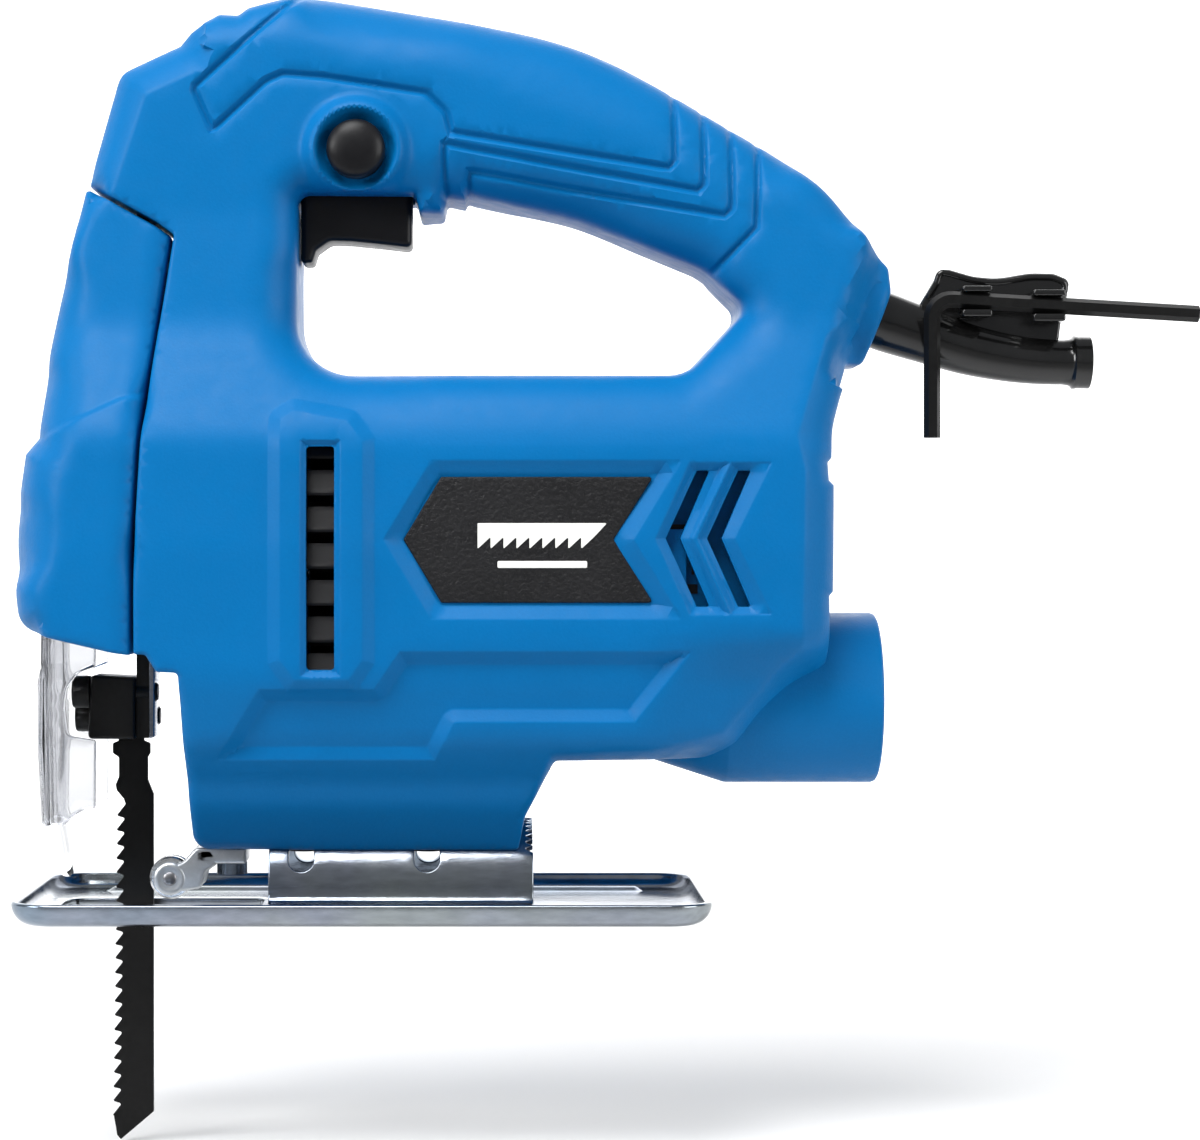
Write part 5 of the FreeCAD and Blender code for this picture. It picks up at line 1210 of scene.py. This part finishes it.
for sign, label in ((-1, "left"), (1, "right")):
    turn = mirrored if sign < 0 else (lambda part: part)
    slats = [prism([(28.2, z - 3.0, .2), (28.2, z - 2.2, .2), (26.5, z + 2.8, .2), (26.5, z + 2.0, .2)], -11.1, -5.0, 0.1,
                   place=lambda flat, x: np.stack([x + 0 * flat[:, 0], flat[:, 0], flat[:, 1]], 1), pitch=6)
             for z in np.arange(52.5, 99, 7.4)]
    frame_sides = [plain_box(-12.4, -10.9, 26.2, 27.8, 51.8, 96.5), plain_box(-5.2, -3.7, 26.2, 27.8, 51.8, 96.5)]
    build("slats_" + label, [turn(p) for p in slats + frame_sides], "housing", ["vent_grilles"], "black_plastic")
    baffle = [plain_box(55.4, 80.8, 24.0, 24.8, 60.0, 95.5), plain_box(55.6, 65.6, 24.2, 27.4, 68.4, 80.0)]
    build("baffle_" + label, [turn(p) for p in baffle], "housing", ["housing_" + label], "blue_plastic")

# %% Screw wells
well_parts = []
outline_lines = [rounded_loop(line, 1.1) for line in (BODY_LOOP, OPENING_LOOP)]
for x, z in well_places:
    ring = np.array(circle_loop(x, z, WELL + 0.6, 24))
    edge_distance = np.min([distance(ring, line) for line in outline_lines], axis=0)
    mouth = body_height(ring, edge_distance, False).min() - 1.0
    well_parts.append(lathe([(WELL, 8.0), (WELL + 1.2, 8.0), (WELL + 1.2, mouth), (WELL, mouth)], "y", (x, 0, z), 32, True))
build("screw_wells", well_parts, "housing", ["housing_right"], "blue_plastic")

# %% Springs
def coil(centre_of, radius, wire, turns, axis, low, high, flat_ends=0.35):
    """A compression spring: a helix whose last turns lie flat."""
    t = np.linspace(0, 1, int(turns * 28))
    rise = np.clip((t - flat_ends / turns) / (1 - 2 * flat_ends / turns), 0, 1)
    rise = low + wire + (high - low - 2 * wire) * (0.08 * t + 0.92 * rise)
    first, second = radius * np.cos(2 * np.pi * turns * t), radius * np.sin(2 * np.pi * turns * t)
    order = {"x": (rise, first, second), "y": (first, rise, second), "z": (first, second, rise)}[axis]
    path = np.stack(order, 1) + np.array(centre_of, float)
    return sweep(path, wire, up={"x": (1, 0, 0), "y": (0, 1, 0), "z": (0, 0, 1)}[axis], count=10)


build("trigger_coil", [coil((0, 0, 0), 2.1, 0.35, 4.5, "z", 163.05, 167.2)], "trigger_lever", ["trigger_spring"], "spring_steel")
build("button_coil", [coil((-1.4, 0, 157.8), 3.5, 0.3, 2.5, "y", -12.1, -9.9)], "lock_knob", ["lock_spring"], "spring_steel")
build("brush_coils", [coil((60, 0, 74), 1.8, 0.3, 6, "y", -26, -20), coil((60, 0, 74), 1.8, 0.3, 6, "y", 20, 26)], "housing", ["brush_springs"], "spring_steel")

# %% Floor
FLOOR_GLOW = 0.88
WALL_GLOW_FROM = (0.30, 1.20)
FLOOR_FADE = (-0.34, -0.05)
low_z = cad_box[0].z - 0.0005
turn = np.linspace(-math.pi / 2, 0, 24)
sweep_line = [(-3.0, low_z)] + [(0.9 + 0.8 * math.cos(a), low_z + 0.8 + 0.8 * math.sin(a)) for a in turn] + [(1.7, 3.0)]
floor_points = np.array([(x, y, z) for y, z in sweep_line for x in (-3.5, 3.5)])
rows = np.arange(len(sweep_line) - 1)[:, None] * 2
floor_mesh = bpy.data.meshes.new("floor")
floor_mesh.from_pydata(floor_points.tolist(), [], (rows + [0, 1, 3, 2]).tolist())
floor_mesh.shade_smooth()
floor = bpy.data.objects.new("floor", floor_mesh)
scene.collection.objects.link(floor)
pale = bpy.data.materials.new("pale_floor")
pale.use_nodes = True
paper = pale.node_tree.nodes["Principled BSDF"]
paper.inputs["Roughness"].default_value = 0.9
paper.inputs["Specular IOR Level"].default_value = 0.1
spot = pale.node_tree.nodes.new("ShaderNodeTexCoord")
parts_of = pale.node_tree.nodes.new("ShaderNodeSeparateXYZ")
fade = pale.node_tree.nodes.new("ShaderNodeMapRange")
fade.interpolation_type = "SMOOTHSTEP"
fade.inputs["From Min"].default_value, fade.inputs["From Max"].default_value = FLOOR_FADE
fade.inputs["To Min"].default_value, fade.inputs["To Max"].default_value = 0.18, 0.74
pale.node_tree.links.new(spot.outputs["Object"], parts_of.inputs[0])
pale.node_tree.links.new(parts_of.outputs["Y"], fade.inputs["Value"])
pale.node_tree.links.new(fade.outputs["Result"], paper.inputs["Base Color"])
glow = pale.node_tree.nodes.new("ShaderNodeMapRange")
glow.interpolation_type = "SMOOTHSTEP"
glow.inputs["From Min"].default_value, glow.inputs["From Max"].default_value = WALL_GLOW_FROM
glow.inputs["To Min"].default_value, glow.inputs["To Max"].default_value = 0, 1
pale.node_tree.links.new(parts_of.outputs["Y"], glow.inputs["Value"])
pale.node_tree.links.new(glow.outputs["Result"], paper.inputs["Emission Color"])
paper.inputs["Emission Strength"].default_value = FLOOR_GLOW
floor.data.materials.append(pale)

# %% Sizes
print("cad box", [round(v * 1000, 1) for c in cad_box for v in c])
